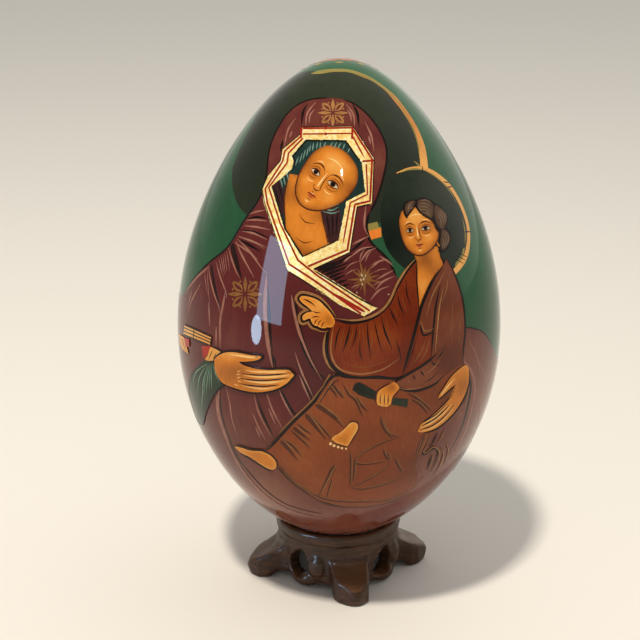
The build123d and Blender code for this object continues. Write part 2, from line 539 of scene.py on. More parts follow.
def dark_wood():
    """Stained, polished hardwood with its grain along the table and open pores; painted light makes its
    upward faces paler, and painted shade makes the inside of the bore almost black.
    """
    nodes = Nodes("stand_wood", "stand_wood")
    grain = nodes.noise(0.16, 6.0, (1, 1, 7))
    fibre = nodes.noise(1.1, 4.0, (0.35, 1, 3))
    mixed = nodes.math("ADD", nodes.math("MULTIPLY", grain, 0.65), nodes.math("MULTIPLY", fibre, 0.35))
    base = nodes.ramp(mixed, [(0.26, colour(32, 17, 7)), (0.46, colour(54, 32, 15)),
                              (0.60, colour(76, 47, 25)), (0.80, colour(110, 70, 39))])
    # painted light: faces that look upwards are blended towards a paler brown, as if lit from above
    upward = nodes.add("SeparateXYZ")
    nodes.link(nodes.add("NewGeometry").outputs["Normal"], upward.inputs[0])
    top_light_share = nodes.add("MapRange", interpolation_type="SMOOTHSTEP")
    nodes.link(upward.outputs["Z"], top_light_share.inputs["Value"])
    top_light_share.inputs["From Min"].default_value = 0.35
    top_light_share.inputs["From Max"].default_value = 1.0
    top_light_share.inputs["To Max"].default_value = 0.42
    top_lit_wood = nodes.add("MixRGB")
    nodes.link(top_light_share.outputs["Result"], top_lit_wood.inputs["Fac"])
    nodes.link(base, top_lit_wood.inputs["Color1"])
    top_lit_wood.inputs["Color2"].default_value = colour(138, 98, 64)
    # painted shade: close to the bore the wood goes almost black, for the shade inside the hollow seen
    # through the windows
    place = nodes.add("SeparateXYZ")
    nodes.link(nodes.coordinates((1, 1, 1)), place.inputs[0])
    squares = [nodes.math("MULTIPLY", place.outputs[axis], place.outputs[axis]) for axis in "XY"]
    out = nodes.math("SQRT", nodes.math("ADD", *squares), 0)
    inside = nodes.add("MapRange")
    nodes.link(out, inside.inputs["Value"])
    inside.inputs["From Min"].default_value = BORE_RADIUS + 2.2       # full wood colour from here out
    inside.inputs["From Max"].default_value = BORE_RADIUS + 0.6       # almost black from here in
    bore_painted_shade = nodes.add("MixRGB")
    nodes.link(inside.outputs["Result"], bore_painted_shade.inputs["Fac"])
    nodes.link(top_lit_wood.outputs["Color"], bore_painted_shade.inputs["Color1"])
    bore_painted_shade.inputs["Color2"].default_value = colour(12, 8, 6)
    nodes.link(bore_painted_shade.outputs["Color"], nodes.shader.inputs["Base Color"])
    rough = nodes.math("MULTIPLY_ADD", fibre, 0.35)
    rough.node.inputs[2].default_value = 0.3
    nodes.link(rough, nodes.shader.inputs["Roughness"])
    nodes.bump(fibre, 0.2, 0.08)
    nodes.set(Coat_Weight=0.28, Coat_Roughness=0.18, Specular_IOR_Level=0.2)


def bare(name, slot, dark, light, scale, stretch=(1, 1, 1), roughness=0.7):
    """A plain finish for the pieces that the paint hides."""
    nodes = Nodes(name, slot)
    value = nodes.noise(scale, 4.0, stretch)
    base = nodes.ramp(value, [(0.35, colour(*dark)), (0.65, colour(*light))])
    nodes.link(base, nodes.shader.inputs["Base Color"])
    nodes.bump(value, 0.2, 0.05)
    nodes.set(Roughness=roughness)


enamel("green", (20, 44, 30), (34, 78, 52), (66, 122, 84), grain=0.25, scale=0.03)
enamel("halo_green", (18, 26, 19), (37, 44, 33), (62, 70, 52), grain=0.3, scale=0.05)
enamel("child_halo_green", (8, 16, 11), (28, 38, 28), (54, 60, 46), grain=0.35, scale=0.08)
# the tan light end is where the painted floor reflection low on the egg takes the wine
enamel("wine", (48, 12, 15), (92, 36, 36), (148, 98, 72), grain=0.22, scale=0.05, stretch=(1, 1, 0.2))
enamel("near_black", (10, 5, 4), (22, 11, 8), (48, 26, 18), grain=0.4)
enamel("rose", (112, 68, 56), (154, 104, 90), (190, 146, 128), grain=0.6, scale=0.4)
enamel("soft_brown", (58, 26, 14), (84, 44, 26), (112, 66, 40), grain=0.5)
enamel("teal", (10, 22, 22), (28, 50, 48), (52, 84, 78), grain=0.4)
enamel("pale_teal", (62, 94, 88), (104, 138, 128), (150, 178, 164), grain=0.6, scale=0.5)
enamel("plum", (26, 12, 16), (56, 30, 32), (86, 54, 52), grain=0.4)
enamel("flesh", (112, 54, 18), (212, 128, 42), (252, 202, 112), grain=0.22, scale=0.12)
enamel("flesh_light", (214, 150, 78), (246, 200, 128), (255, 232, 182), grain=0.3)
enamel("flesh_line", (40, 16, 8), (74, 34, 16), (120, 62, 28), grain=0.4)
enamel("lip_red", (110, 30, 16), (166, 58, 30), (206, 100, 62), grain=0.3)
enamel("eye_white", (150, 128, 100), (206, 188, 156), (236, 222, 196), grain=0.2)
enamel("red_line", (92, 18, 12), (150, 34, 20), (202, 68, 40), grain=0.5, scale=0.4)
enamel("ochre", (140, 82, 30), (204, 134, 58), (240, 184, 104), grain=0.35, scale=0.15)
enamel("olive_gold", (92, 84, 40), (140, 128, 66), (184, 164, 92), grain=0.4)
enamel("orange", (176, 84, 22), (222, 124, 46), (246, 160, 84), grain=0.3)
enamel("rosette_gold", (110, 70, 36), (156, 108, 62), (206, 156, 98), grain=0.7, scale=0.5)
enamel("cuff_gold", (160, 96, 36), (224, 158, 76), (248, 204, 128), grain=0.35)
enamel("sleeve_green", (22, 34, 26), (46, 62, 46), (78, 106, 82), grain=0.4, scale=0.2)
enamel("pale_green", (74, 108, 88), (108, 144, 120), (150, 180, 150), grain=0.5)
enamel("russet", (62, 16, 3), (112, 38, 7), (158, 74, 20), grain=0.45, scale=0.12, stretch=(2.0, 2.0, 0.3))
enamel("russet_light", (112, 56, 20), (142, 80, 32), (176, 112, 54), grain=0.6, scale=0.4)
enamel("cloak_brown", (56, 24, 12), (108, 52, 32), (146, 88, 58), grain=0.35, scale=0.1)
enamel("mantle_brown", (78, 32, 12), (130, 63, 30), (166, 96, 50), grain=0.4, scale=0.07,
       stretch=(2.2, 2.2, 0.4))
enamel("tan_line", (110, 72, 40), (150, 104, 62), (196, 150, 98), grain=0.6, scale=0.4)
enamel("hair_brown", (36, 24, 16), (84, 60, 44), (124, 94, 72), grain=0.8, scale=0.4)
enamel("scroll_green", (8, 12, 8), (26, 34, 24), (52, 62, 44), grain=0.4)
enamel("brick", (92, 38, 22), (134, 66, 42), (176, 108, 76), grain=0.4)
enamel("hair_light", (84, 66, 50), (122, 100, 80), (160, 140, 114), grain=0.6, scale=0.4)
enamel("cap_red", (100, 18, 12), (172, 46, 34), (210, 90, 66), grain=0.4)
gold_leaf_paint()
dark_wood()
bare("turned_wood", "egg_wood", (150, 112, 70), (204, 166, 116), 0.08, (1, 1, 6))
bare("chalk", "chalk_ground", (206, 200, 186), (232, 228, 216), 0.5)


# ---------------------------------------------------------------- the egg and its grounds

COLUMNS = 288            # round the egg, in the two meshes that go right round it
ZONE_ROWS = 70
SKIN_ROWS = 220


def zone(name, low, high, layer, paint, tone):
    """A band right round the egg between two heights, each a function of degrees from the front."""
    degrees = np.linspace(-180, 180, COLUMNS, endpoint=False)
    bottom, top = (latitude_at(np.array([edge(d) for d in degrees])) for edge in (low, high))
    share = np.linspace(0, 1, ZONE_ROWS)[:, None]
    latitude = bottom[None] + (top - bottom)[None] * share
    longitude = np.repeat(np.radians(degrees)[None], ZONE_ROWS, 0)
    places = np.stack([longitude.ravel(), latitude.ravel()], 1)
    triangles = []
    for row in range(ZONE_ROWS - 1):
        for column in range(COLUMNS):
            a, b = row * COLUMNS + column, row * COLUMNS + (column + 1) % COLUMNS
            triangles += [(a, b, b + COLUMNS), (a, b + COLUMNS, a + COLUMNS)]
    return slab(name, places, triangles, layer, paint, tone(picture_of(on_egg(places)[0])))


def egg_skin():
    """The whole egg in its green ground, a closed surface."""
    longitudes = np.linspace(-math.pi, math.pi, COLUMNS, endpoint=False)
    places = []
    latitudes = np.linspace(-math.pi / 2, math.pi / 2, SKIN_ROWS + 1)[1:-1]
    for latitude in latitudes:
        places += [(longitude, latitude) for longitude in longitudes]
    south, north = len(places), len(places) + 1
    places += [(0.0, -math.pi / 2), (0.0, math.pi / 2)]
    faces = []
    for row in range(len(latitudes) - 1):
        for column in range(COLUMNS):
            a, b = row * COLUMNS + column, row * COLUMNS + (column + 1) % COLUMNS
            faces.append((a, b, b + COLUMNS, a + COLUMNS))
    top = (len(latitudes) - 1) * COLUMNS
    for column in range(COLUMNS):
        following = (column + 1) % COLUMNS
        faces.append((south, following, column))
        faces.append((north, top + column, top + following))
    points, normals = on_egg(np.array(places))
    # painted light: the green ground is made lighter high on the egg and on its right flank
    tones = spots((0, 100, 60, 0.25), (55, 22, 18, 0.3))(picture_of(points))
    return make_object("egg_skin", points, faces, normals, "green", "egg", tones)


skin = egg_skin()
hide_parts("lacquer_coat")

BACK_BORDER = [(-180, 62), (-150, 65), (-125, 78), (-105, 100), (-88, 108), (-70, 96), (-40, 70), (0, 60),
               (40, 64), (62, 84), (78, 90), (95, 84), (115, 72), (150, 64), (180, 62)]


def border_height(degrees):
    """Height of the edge between the wine lower ground and the green, round the egg."""
    angles, heights = zip(*BACK_BORDER)
    return float(np.interp(degrees, angles, heights))


# painted reflection: soft lighter spots low on the egg, standing for the pale floor mirrored in the lacquer;
# they take the wine ground, the robe and the right cloak towards their tan light colour
LOW_PAINTED_REFLECTION = [(0, -80, 30, 0.28), (-44, -44, 24, 0.15), (-28, -74, 14, 0.45), (52, -30, 20, 0.55),
             (36, -66, 16, 0.3)]
ZONE_START = EGG_BASE + 0.15      # the lower ground stops just short of the bottom pole
zone("lower_ground", lambda degrees: ZONE_START, border_height, "ground", "wine", spots(*LOW_PAINTED_REFLECTION))

# ---------------------------------------------------------------- haloes

HALO_RIM_OUTER = [(-10.4, 86.1), (-7.5, 87.0), (-3.4, 87.6), (0.4, 87.7), (3.7, 87.4), (8.0, 86.2),
                  (11.2, 84.8), (14.4, 82.9), (17.5, 80.5), (20.8, 77.6), (23.6, 74.1), (27.3, 68.8),
                  (30.1, 63.3), (32.0, 57.7), (32.9, 51.1)]
HALO_RIM_INNER = [(30.0, 51.1), (29.7, 56.4), (29.2, 60.2), (27.7, 65.1), (25.2, 69.5), (21.7, 74.1),
                  (17.5, 79.2), (14.4, 81.7), (11.2, 83.7), (8.0, 85.0), (3.7, 86.5), (0.4, 86.9),
                  (-3.4, 86.8), (-7.5, 86.2)]

mother_halo = join(seen([(-39.9, 51.0), (-38.4, 55.1), (-36.2, 60.3), (-33.2, 66.2), (-30.6, 71.8)]),
                   around([(-86, 182.5), (-88, 186.5), (-85, 190), (-78, 192.6), (-66, 194), (-50, 194.6)]),
                   seen([(-7.5, 86.8), (-3.4, 87.2), (0.4, 87.3), (3.7, 87.0), (8.0, 85.6), (11.2, 84.1),
                         (17.5, 79.9), (21.2, 75.9), (25.2, 70.6), (28.3, 65.1), (30.2, 59.5), (31.3, 51.0),
                         (29.1, 42.8), (23.9, 36.4), (17.9, 31.9), (13.4, 30.1), (7.5, 29.3), (-14.9, 30.1),
                         (-29.1, 30.8), (-35.0, 33.8), (-38.4, 38.3), (-40.1, 45.0), (-40.0, 49.5)]))
fill("mother_halo", mother_halo, "halo", "halo_green", spacing=1.4,
     tone=spots((0, 84, 26, 0.3), (-30, 60, 22, -0.1), (22, 50, 14, -0.35)))
fill("mother_halo_rim", join(seen(HALO_RIM_OUTER), seen(HALO_RIM_INNER)), "halo_rim", "ochre",
     tone=lambda picture: np.clip((64 - picture[:, 1]) / 20, -0.2, 0.75))     # dimmer towards the top
strokes("halo_rim_shade", [
    ([(-10.8, 86.0), (-7.5, 86.6), (-3.4, 87.2), (0.4, 87.3), (3.7, 87.0), (8.0, 85.7), (11.2, 84.3),
      (14.4, 82.3), (17.5, 79.9), (22.0, 75.2), (25.3, 70.3)], 1.8, 0.1, 0.6, 0.1),
    ([(22.0, 73.8), (25.2, 69.1), (27.6, 64.5), (29.1, 59.7), (29.7, 54.7)], 0.6, 0.5, 0.2),
    ([(27.6, 53.6), (28.7, 52.7), (30.2, 51.3)], 0.8),
], "child_rim", "olive_gold")

child_halo = ring([(21.6, 48.7), (25.7, 50.6), (30.2, 51.0), (35.0, 49.5), (39.9, 45.9), (43.6, 41.1),
                   (46.2, 35.7), (47.7, 29.3), (47.9, 24.1), (47.0, 18.5), (45.1, 13.7), (41.7, 10.7),
                   (33.5, 10.0), (27.6, 12.2), (23.9, 14.1), (20.9, 16.7), (17.5, 21.5), (15.7, 27.8),
                   (15.3, 33.8), (16.0, 39.0), (18.3, 45.0)])
fill("child_halo", child_halo, "child_halo", "child_halo_green",
     tone=spots((36, 42, 10, 0.45), (19, 25, 9, -0.9), (46, 26, 7, 0.2)))
CHILD_RIM = [(21.2, 49.1), (23.1, 49.9), (26.1, 50.8), (29.8, 51.0), (33.9, 49.8), (37.6, 47.3),
             (41.4, 43.6), (44.7, 38.1), (47.0, 32.3), (48.0, 27.1), (47.7, 21.1), (46.4, 17.0),
             (44.2, 13.9), (42.1, 11.8)]
strokes("child_halo_rim", [(seen(CHILD_RIM), 2.1, 0.35, 0.0, 0.5)], "child_rim", "ochre")
strokes("child_rim_shade", [
    ([(22.4, 49.2), (25.3, 50.3), (29.1, 50.6), (32.8, 49.9)], 0.7),
    ([(32.8, 49.4), (36.9, 46.8), (40.6, 42.9), (43.6, 38.0)], 0.6),
    ([(45.6, 32.7), (46.7, 27.1), (46.6, 22.6)], 0.7),
    ([(46.4, 21.5), (45.5, 18.2), (43.0, 14.6)], 1.0, 0.1, 0.1),
], "robe", "olive_gold")

fill("rim_end_orange", corners([(10.8, 27.7), (15.5, 28.8), (15.7, 25.4), (11.9, 24.3)]), "halo_rim",
     "orange", 1.0)
fill("rim_end_olive", corners([(10.4, 30.1), (14.2, 31.0), (14.5, 29.3), (15.7, 28.6), (10.8, 27.5)]),
     "halo_rim", "olive_gold", 1.0)

# ---------------------------------------------------------------- the mother's robe

robe_left = seen([(-4.5, 77.0), (-10.4, 76.5), (-15.7, 74.4), (-19.8, 70.7), (-22.7, 66.2), (-25.0, 61.4),
                  (-26.5, 55.8), (-27.4, 47.2), (-30.2, 38.7), (-35.4, 31.2), (-41.4, 21.5), (-48.8, 15.2),
                  (-54.4, 9.2), (-58.1, 3.2)])
robe_left_back = around([(-86, 112), (-96, 109), (-108, 98), (-120, 84), (-128, 76)])
robe_right = seen([(33.5, -9.4), (26.1, 1.8), (20.9, 11.4), (17.5, 17.4), (11.6, 23.4), (10.2, 27.5),
                   (11.0, 33.8), (14.2, 40.5), (16.6, 49.1), (17.5, 55.8), (16.2, 62.1), (11.6, 69.4),
                   (7.8, 73.3), (4.1, 75.5), (0.0, 76.8), (-4.5, 77.0)])
robe_floor = around([(-110, 66), (-60, 60), (0, 56), (30, 60), (42, 80)])
robe_shade = spots((-27, 56, 20, 0.10), (-30, 0, 12, 0.05), (-12, -6, 16, -0.35), (-4, -28, 16, -0.45),
                   (12, 16, 10, -0.3), (3, 70, 12, 0.15), (16, 58, 10, -0.15),
                   (-34, 22, 10, -0.1), (14, 54, 7, 0.3), *LOW_PAINTED_REFLECTION)
fill("robe", join(robe_left, robe_left_back, robe_floor, robe_right[1:-1]), "robe", "wine", 2.0,
     tone=robe_shade)

cloak_right = join(seen([(42.9, -9.4), (47.7, -8.3), (50.3, -8.7), (52.6, -9.4), (54.8, -11.3),
                         (56.3, -13.9)]),
                   around([(74, 92), (80, 88), (92, 80), (100, 70), (96, 60), (70, 50), (44, 46), (34, 50)]),
                   seen([(31.3, -63.8), (29.1, -51.9), (31.3, -35.5), (35.0, -20.6)]))
fill("cloak_right", cloak_right, "robe", "wine", 2.0,
     tone=spots(*LOW_PAINTED_REFLECTION))

strokes("robe_outlines", [
    (robe_left, 0.7, 0.02, 0.02), (robe_left_back, 0.7, 0.02, 0.2),
    ([(1.1, 76.5), (6.0, 74.4), (11.6, 69.4), (16.2, 62.1), (17.5, 55.8), (16.6, 49.1), (14.2, 40.5),
      (11.2, 34.2)], 0.7, 0.05, 0.05),
    ([(11.0, 34.2), (10.2, 30.8), (10.4, 27.5), (11.7, 23.4), (17.7, 17.4), (19.4, 14.4), (21.1, 11.1)], 0.8,
     0.05, 0.05),
    (join(seen([(45.5, -8.7), (47.7, -8.3), (50.3, -8.7), (52.6, -9.4), (54.8, -11.3), (56.3, -13.9)]),
          around([(74, 92), (84, 86), (96, 76)])),
     0.5, 0.1, 0.3),
], "robe_dark", "near_black")

PLEATS_DARK = [
    # down the left shoulder
    [(-34.3, 31.9), (-30.6, 32.5), (-26.8, 32.1)], [(-36.9, 27.8), (-31.3, 26.7), (-26.1, 24.9)],
    [(-37.3, 24.3), (-32.4, 21.5), (-29.1, 19.6)],
    # hood
    [(-11.9, 75.0), (-13.6, 71.8), (-14.3, 66.6)], [(4.5, 75.2), (6.5, 71.1), (7.1, 65.9)],
    [(-21.2, 61.4), (-22.0, 56.9)],
    # chest and lap
    [(-25.3, -17.6), (-23.7, -21.4), (-23.3, -24.0)], [(-26.6, 7.3), (-25.7, -7.6), (-24.6, -17.6)],
    [(-16.4, -0.1), (-14.9, -9.4), (-12.7, -17.6), (-8.2, -25.1), (-5.2, -28.1)],
    [(-12.7, -17.6), (-8.9, -24.3), (-4.8, -27.7)], [(-15.8, -21.4), (-13.4, -26.6), (-10.1, -32.5)],
    [(-13.8, -28.1), (-11.6, -32.5), (-9.3, -36.3)],
    [(-44.0, -31.0), (-44.0, -36.3), (-42.9, -43.3), (-39.1, -54.2), (-35.8, -60.1)],
    [(-30.6, -33.7), (-28.3, -40.7), (-23.9, -49.7)], [(-21.2, -32.2), (-18.6, -37.4), (-14.9, -42.2)],
    # right shoulder, towards the child
    [(4.1, 19.6), (6.7, 21.9), (10.1, 24.9)], [(4.5, 18.2), (8.9, 20.8), (13.8, 21.1)],
    [(0.0, 15.9), (4.5, 18.9)],
]
PLEATS_LIGHT = [
    [(-33.5, 33.6), (-30.6, 34.6), (-27.6, 35.1)], [(-34.7, 31.4), (-30.6, 31.5), (-26.8, 31.0)],
    [(-35.4, 29.3), (-30.6, 28.8), (-25.7, 27.8)], [(-36.2, 27.3), (-31.7, 26.4), (-26.8, 24.1)],
    [(-37.6, 25.4), (-32.1, 23.4), (-26.8, 21.1)], [(-38.8, 23.0), (-34.3, 20.0), (-30.2, 16.7)],
    [(-38.0, 24.5), (-33.5, 19.9), (-28.7, 13.4), (-26.5, 11.5)],
    [(-38.4, 23.6), (-36.3, 18.5), (-31.7, 10.1)],
    [(-41.2, 21.1), (-40.1, 17.1), (-38.2, 12.0), (-36.8, 9.7)],
    [(-45.8, 15.9), (-44.4, 10.7), (-42.1, 4.5), (-41.9, 2.2)],
    [(-48.7, 14.3), (-48.0, 9.7), (-46.6, 4.1), (-44.7, -1.0), (-44.2, -3.8)],
    # hood
    [(-8.9, 75.4), (-11.4, 72.4), (-12.4, 70.0), (-12.6, 66.8)],
    [(-9.2, 72.8), (-11.0, 70.7), (-11.4, 67.5)], [(-16.2, 69.7), (-19.2, 65.1), (-20.6, 58.8)],
    [(-17.7, 64.7), (-18.6, 62.1)], [(2.2, 74.6), (4.5, 71.8), (5.3, 69.2), (5.4, 66.0)],
    [(2.6, 72.8), (3.9, 70.7), (4.3, 68.1)], [(9.2, 68.3), (11.7, 62.9), (12.7, 57.1)],
    [(10.7, 62.9), (11.5, 59.7)],
    # left arm
    [(-45.7, -8.3), (-45.7, -15.6)], [(-48.5, 0.6), (-48.1, -8.3)],
    [(-51.2, 8.3), (-55.0, 0.8), (-56.8, -6.6)], [(-54.8, 5.1), (-56.3, -1.2)],
    # chest
    [(-16.0, -4.2), (-13.6, -13.2), (-10.1, -21.4), (-6.3, -27.9)],
    [(-16.3, -17.8), (-13.8, -25.1), (-9.3, -34.6)], [(-14.6, -26.2), (-12.7, -31.0), (-10.4, -35.9)],
    # lap
    [(-31.5, -33.1), (-29.8, -40.0), (-25.2, -49.1)], [(-27.0, -32.4), (-24.6, -39.2), (-20.7, -46.5)],
    [(-22.4, -31.2), (-20.1, -36.3), (-16.4, -43.0)], [(-31.9, -40.6), (-29.8, -45.6), (-27.2, -50.4)],
    [(-30.9, -45.4), (-29.1, -49.7)], [(-41.9, -30.7), (-40.5, -36.9), (-39.6, -43.0), (-37.3, -49.7)],
    [(-26.1, -38.5), (-23.5, -44.5)],
]
SHOULDER_FINE = [
    [(-44.7, 16.9), (-43.8, 12.4), (-42.9, 10.3)], [(-44.0, 17.6), (-43.3, 13.9), (-42.6, 11.1)],
    [(-43.3, 18.3), (-42.9, 15.2), (-42.3, 11.8)], [(-42.6, 19.0), (-42.2, 15.7), (-41.7, 12.2)],
    [(-41.9, 19.9), (-41.2, 15.7), (-40.8, 12.6)], [(-50.1, 12.9), (-49.6, 7.3), (-48.7, 3.1)],
    [(-49.2, 13.4), (-48.9, 8.7), (-48.5, 3.6), (-48.2, -0.1)],
    [(-37.3, 25.1), (-31.7, 23.2), (-27.0, 20.0)],
]
BROAD_DARK = [
    ([(-39.9, 22.8), (-39.1, 19.0), (-37.7, 13.9), (-36.3, 9.6)], 2.1),
    ([(-47.7, 14.8), (-47.0, 10.1), (-45.7, 4.1), (-44.2, -1.5)], 1.3),
    ([(-26.5, -7.9), (-25.7, -16.0), (-24.0, -24.0)], 1.2),
    ([(-16.2, 1.0), (-15.1, -6.4), (-12.7, -15.0), (-8.9, -22.1)], 1.1),
    ([(-21.4, -32.5), (-18.6, -37.8), (-14.7, -42.6)], 1.5),
    ([(-13.8, -25.1), (-11.6, -30.3), (-8.2, -35.5)], 1.3),
    ([(47.5, -24.7), (49.0, -29.6), (48.2, -36.3), (45.5, -46.0), (40.6, -56.0)], 1.2),
]
BROAD_PALE = [
    ([(-27.0, 11.1), (-27.5, -2.0), (-26.5, -13.6), (-24.6, -23.6)], 1.4),
    ([(-44.4, -30.5), (-44.8, -36.9), (-43.8, -43.0), (-40.4, -52.3)], 1.1),
    ([(-42.4, 4.5), (-43.3, -1.0), (-44.2, -6.6), (-44.2, -16.0)], 0.9),
    ([(-17.7, 3.6), (-16.8, -2.0), (-15.1, -9.4), (-12.7, -16.1)], 0.9),
    ([(-48.3, 14.2), (-52.6, 10.3), (-56.1, 5.9), (-57.5, 2.5)], 1.0),
    ([(46.1, -16.5), (46.5, -20.6), (49.3, -24.7), (50.5, -29.9), (49.6, -37.4), (46.7, -47.4),
      (41.4, -57.5)], 1.2),
]
RIGHT_SHOULDER_LIGHT = [
    [(9.8, 37.2), (9.3, 29.3), (10.8, 25.6)], [(4.7, 22.4), (7.5, 23.9), (11.2, 25.7)],
    [(3.7, 17.4), (8.2, 20.8), (12.7, 21.7)], [(7.8, 15.9), (10.4, 19.6), (13.8, 21.3)],
    [(13.8, 9.4), (17.1, 11.3), (20.1, 12.9)], [(11.9, 13.7), (14.9, 16.3), (17.5, 16.8)],
    [(14.9, 18.2), (18.6, 15.9), (19.8, 14.4)], [(13.4, 5.5), (16.4, 8.8), (20.5, 10.7)],
    [(1.5, 15.9), (4.5, 18.3)], [(11.6, 1.8), (14.9, 5.5), (18.6, 7.0)],
]
strokes("robe_folds_dark",
        [(line, 0.95, 0.4, 0.5) for line in PLEATS_DARK]
        + [(line, width, 0.08, 0.5, 0.5) for line, width in BROAD_DARK], "robe_dark", "near_black")
strokes("robe_folds_light",
        [(line, 0.68, 0.4, 0.5) for line in PLEATS_LIGHT + RIGHT_SHOULDER_LIGHT]
        + [(line, 0.32, 0.5, 0.6, 0.1) for line in SHOULDER_FINE]
        + [(line, width, 0.2, 0.25, -0.15) for line, width in BROAD_PALE],
        "robe_light", "rose")
strokes("robe_hem_dark", [
    ([(-44.6, -31.8), (-44.1, -39.2), (-42.4, -45.2), (-39.4, -52.7), (-36.3, -58.6), (-31.8, -64.4),
      (-26.5, -69.7), (-20.1, -74.1), (-13.4, -76.4), (-6.0, -77.9)], 0.9, 0.15, 0.4, -0.4),
], "robe_dark", "soft_brown")
strokes("robe_big_folds", [
    ([(-45.6, -32.5), (-45.1, -39.6), (-43.4, -46.0), (-40.4, -53.4), (-37.1, -59.7), (-32.7, -65.6),
      (-27.2, -71.1), (-20.4, -75.5), (-13.4, -78.0), (-6.0, -79.5)], 1.15, 0.15, 0.4, 0.0),
    ([(49.9, -16.5), (53.7, -25.1), (55.0, -32.5)], 0.8, 0.4, 0.5, -0.4),
    ([(52.2, -32.5), (52.6, -38.5), (51.1, -46.0)], 0.6),
    ([(50.7, -46.7), (47.7, -54.9), (43.2, -62.4)], 0.5),
    ([(48.5, -13.2), (51.4, -19.9), (52.9, -28.1)], 0.4),
    ([(44.0, -42.2), (45.1, -40.7), (45.7, -39.2)], 0.5),
], "robe_light", "rose")

# dark hatching under the veil's band, on the right shoulder
HATCH = [
    [(-8.9, 13.5), (-2.2, 15.5), (3.7, 18.2)], [(-8.0, 12.7), (-0.7, 15.2), (4.5, 17.4)],
    [(-6.7, 12.0), (0.7, 14.6), (4.8, 16.3)], [(-5.2, 11.1), (1.9, 13.7), (4.8, 14.8)],
    [(-3.7, 10.1), (1.5, 12.2)], [(-2.2, 9.2), (2.2, 11.1)], [(-0.7, 8.1), (3.0, 9.4)],
    [(1.1, 6.8), (3.7, 7.7)],
]
strokes("shoulder_hatch", [(line, 1.0, 0.1, 0.7) for line in HATCH], "robe_dark", "near_black")

# ---------------------------------------------------------------- the veil, its gilded border, the cap

VEIL_OUTER = [(-14.2, 66.0), (4.8, 66.4), (12.8, 54.5), (12.0, 37.5), (6.5, 36.4), (3.9, 19.5), (-9.5, 13.3),
              (14.3, -1.2), (9.3, -4.2), (-0.4, 0.3), (-18.8, 12.6), (-19.8, 14.4), (-28.0, 37.7),
              (-28.7, 42.9), (-26.7, 47.7), (-21.8, 53.4), (-21.2, 57.7), (-14.5, 63.4)]
VEIL_INNER = [(-12.6, 61.4), (2.4, 61.2), (8.2, 52.8), (9.5, 42.0), (2.6, 38.4), (-0.3, 23.9), (-13.8, 17.5),
              (-20.4, 28.2), (-25.3, 43.9), (-17.8, 50.2), (-17.0, 53.4), (-17.8, 55.3)]
VEIL_INSIDE = [(-13.4, 62.1), (3.0, 62.1), (8.9, 53.6), (10.2, 41.3), (3.4, 37.5), (0.4, 23.4),
               (-13.8, 16.7), (-21.2, 28.0), (-26.1, 43.9), (-18.6, 50.2), (-17.9, 53.6), (-18.6, 55.8)]

fill("veil_inside", corners(VEIL_INSIDE), "cap", "teal", 1.2, tone=spots((-4, 60, 6, 0.4), (9, 46, 4, -0.3)))
fill("neck_cloth_left",
     corners([(-26.5, 44.2), (-22.4, 47.0), (-20.9, 42.8), (-20.1, 37.2), (-20.9, 33.1), (-23.1, 34.6)]),
     "cap_light", "plum", 1.0)
fill("neck_cloth_right", corners([(-7.1, 34.9), (0.4, 35.7), (0.7, 23.7), (-4.1, 21.7)]), "cap_light",
     "plum", 1.0)
CAP_HATCH = [
    [(-16.4, 51.7), (-15.3, 55.1)], [(-14.9, 52.8), (-13.8, 56.5)], [(-13.6, 53.9), (-12.7, 57.7)],
    [(-12.3, 55.1), (-11.6, 58.8)], [(-11.2, 56.9), (-10.8, 59.5)], [(-10.1, 57.3), (-9.7, 60.3)],
    [(-8.6, 58.0), (-8.2, 60.6)], [(-7.3, 58.0), (-7.1, 60.6)], [(-6.0, 58.4), (-5.2, 60.6)],
    [(-3.7, 58.4), (-2.6, 60.6)], [(-2.2, 58.0), (-1.1, 60.6)], [(-0.7, 58.0), (0.4, 60.3)],
    [(1.1, 57.7), (1.9, 59.9)], [(3.0, 56.5), (3.7, 58.4)], [(-22.0, 47.2), (-21.1, 43.5)],
    [(-20.9, 48.3), (-20.1, 44.2)], [(-19.6, 49.5), (-19.0, 46.1)],
]
strokes("cap_hatch", [(seen(line, 0.5), 0.42, 0.3, 0.4) for line in CAP_HATCH]
        + [([(-6.7, 36.0), (-3.0, 35.1), (-0.4, 36.4)], 0.5),
           ([(-6.3, 34.7), (-2.6, 34.0), (0.0, 34.9)], 0.5),
           ([(-4.8, 37.2), (-2.2, 36.6), (0.0, 37.9)], 0.5)], "skin", "pale_teal")
strokes("neck_cloth_folds", [(line, 0.5, 0.3, 0.6) for line in (
    [(-24.4, 44.2), (-21.6, 36.0)], [(-22.7, 45.5), (-20.7, 37.9)], [(-4.8, 34.2), (-3.4, 24.1)],
    [(-2.6, 34.6), (-2.4, 24.9)], [(-0.7, 34.9), (-1.3, 24.9)],
)], "skin", "near_black")

HOOD_GOLD_JITTER = np.random.default_rng(7)


def leaf_edge(points, step=0.7, rough=0.07):
    """A straight-sided outline with the small ragged edge of laid metal leaf."""
    line = straight(points, step, closed=True)
    return cast(line + HOOD_GOLD_JITTER.normal(0, rough, line.shape))


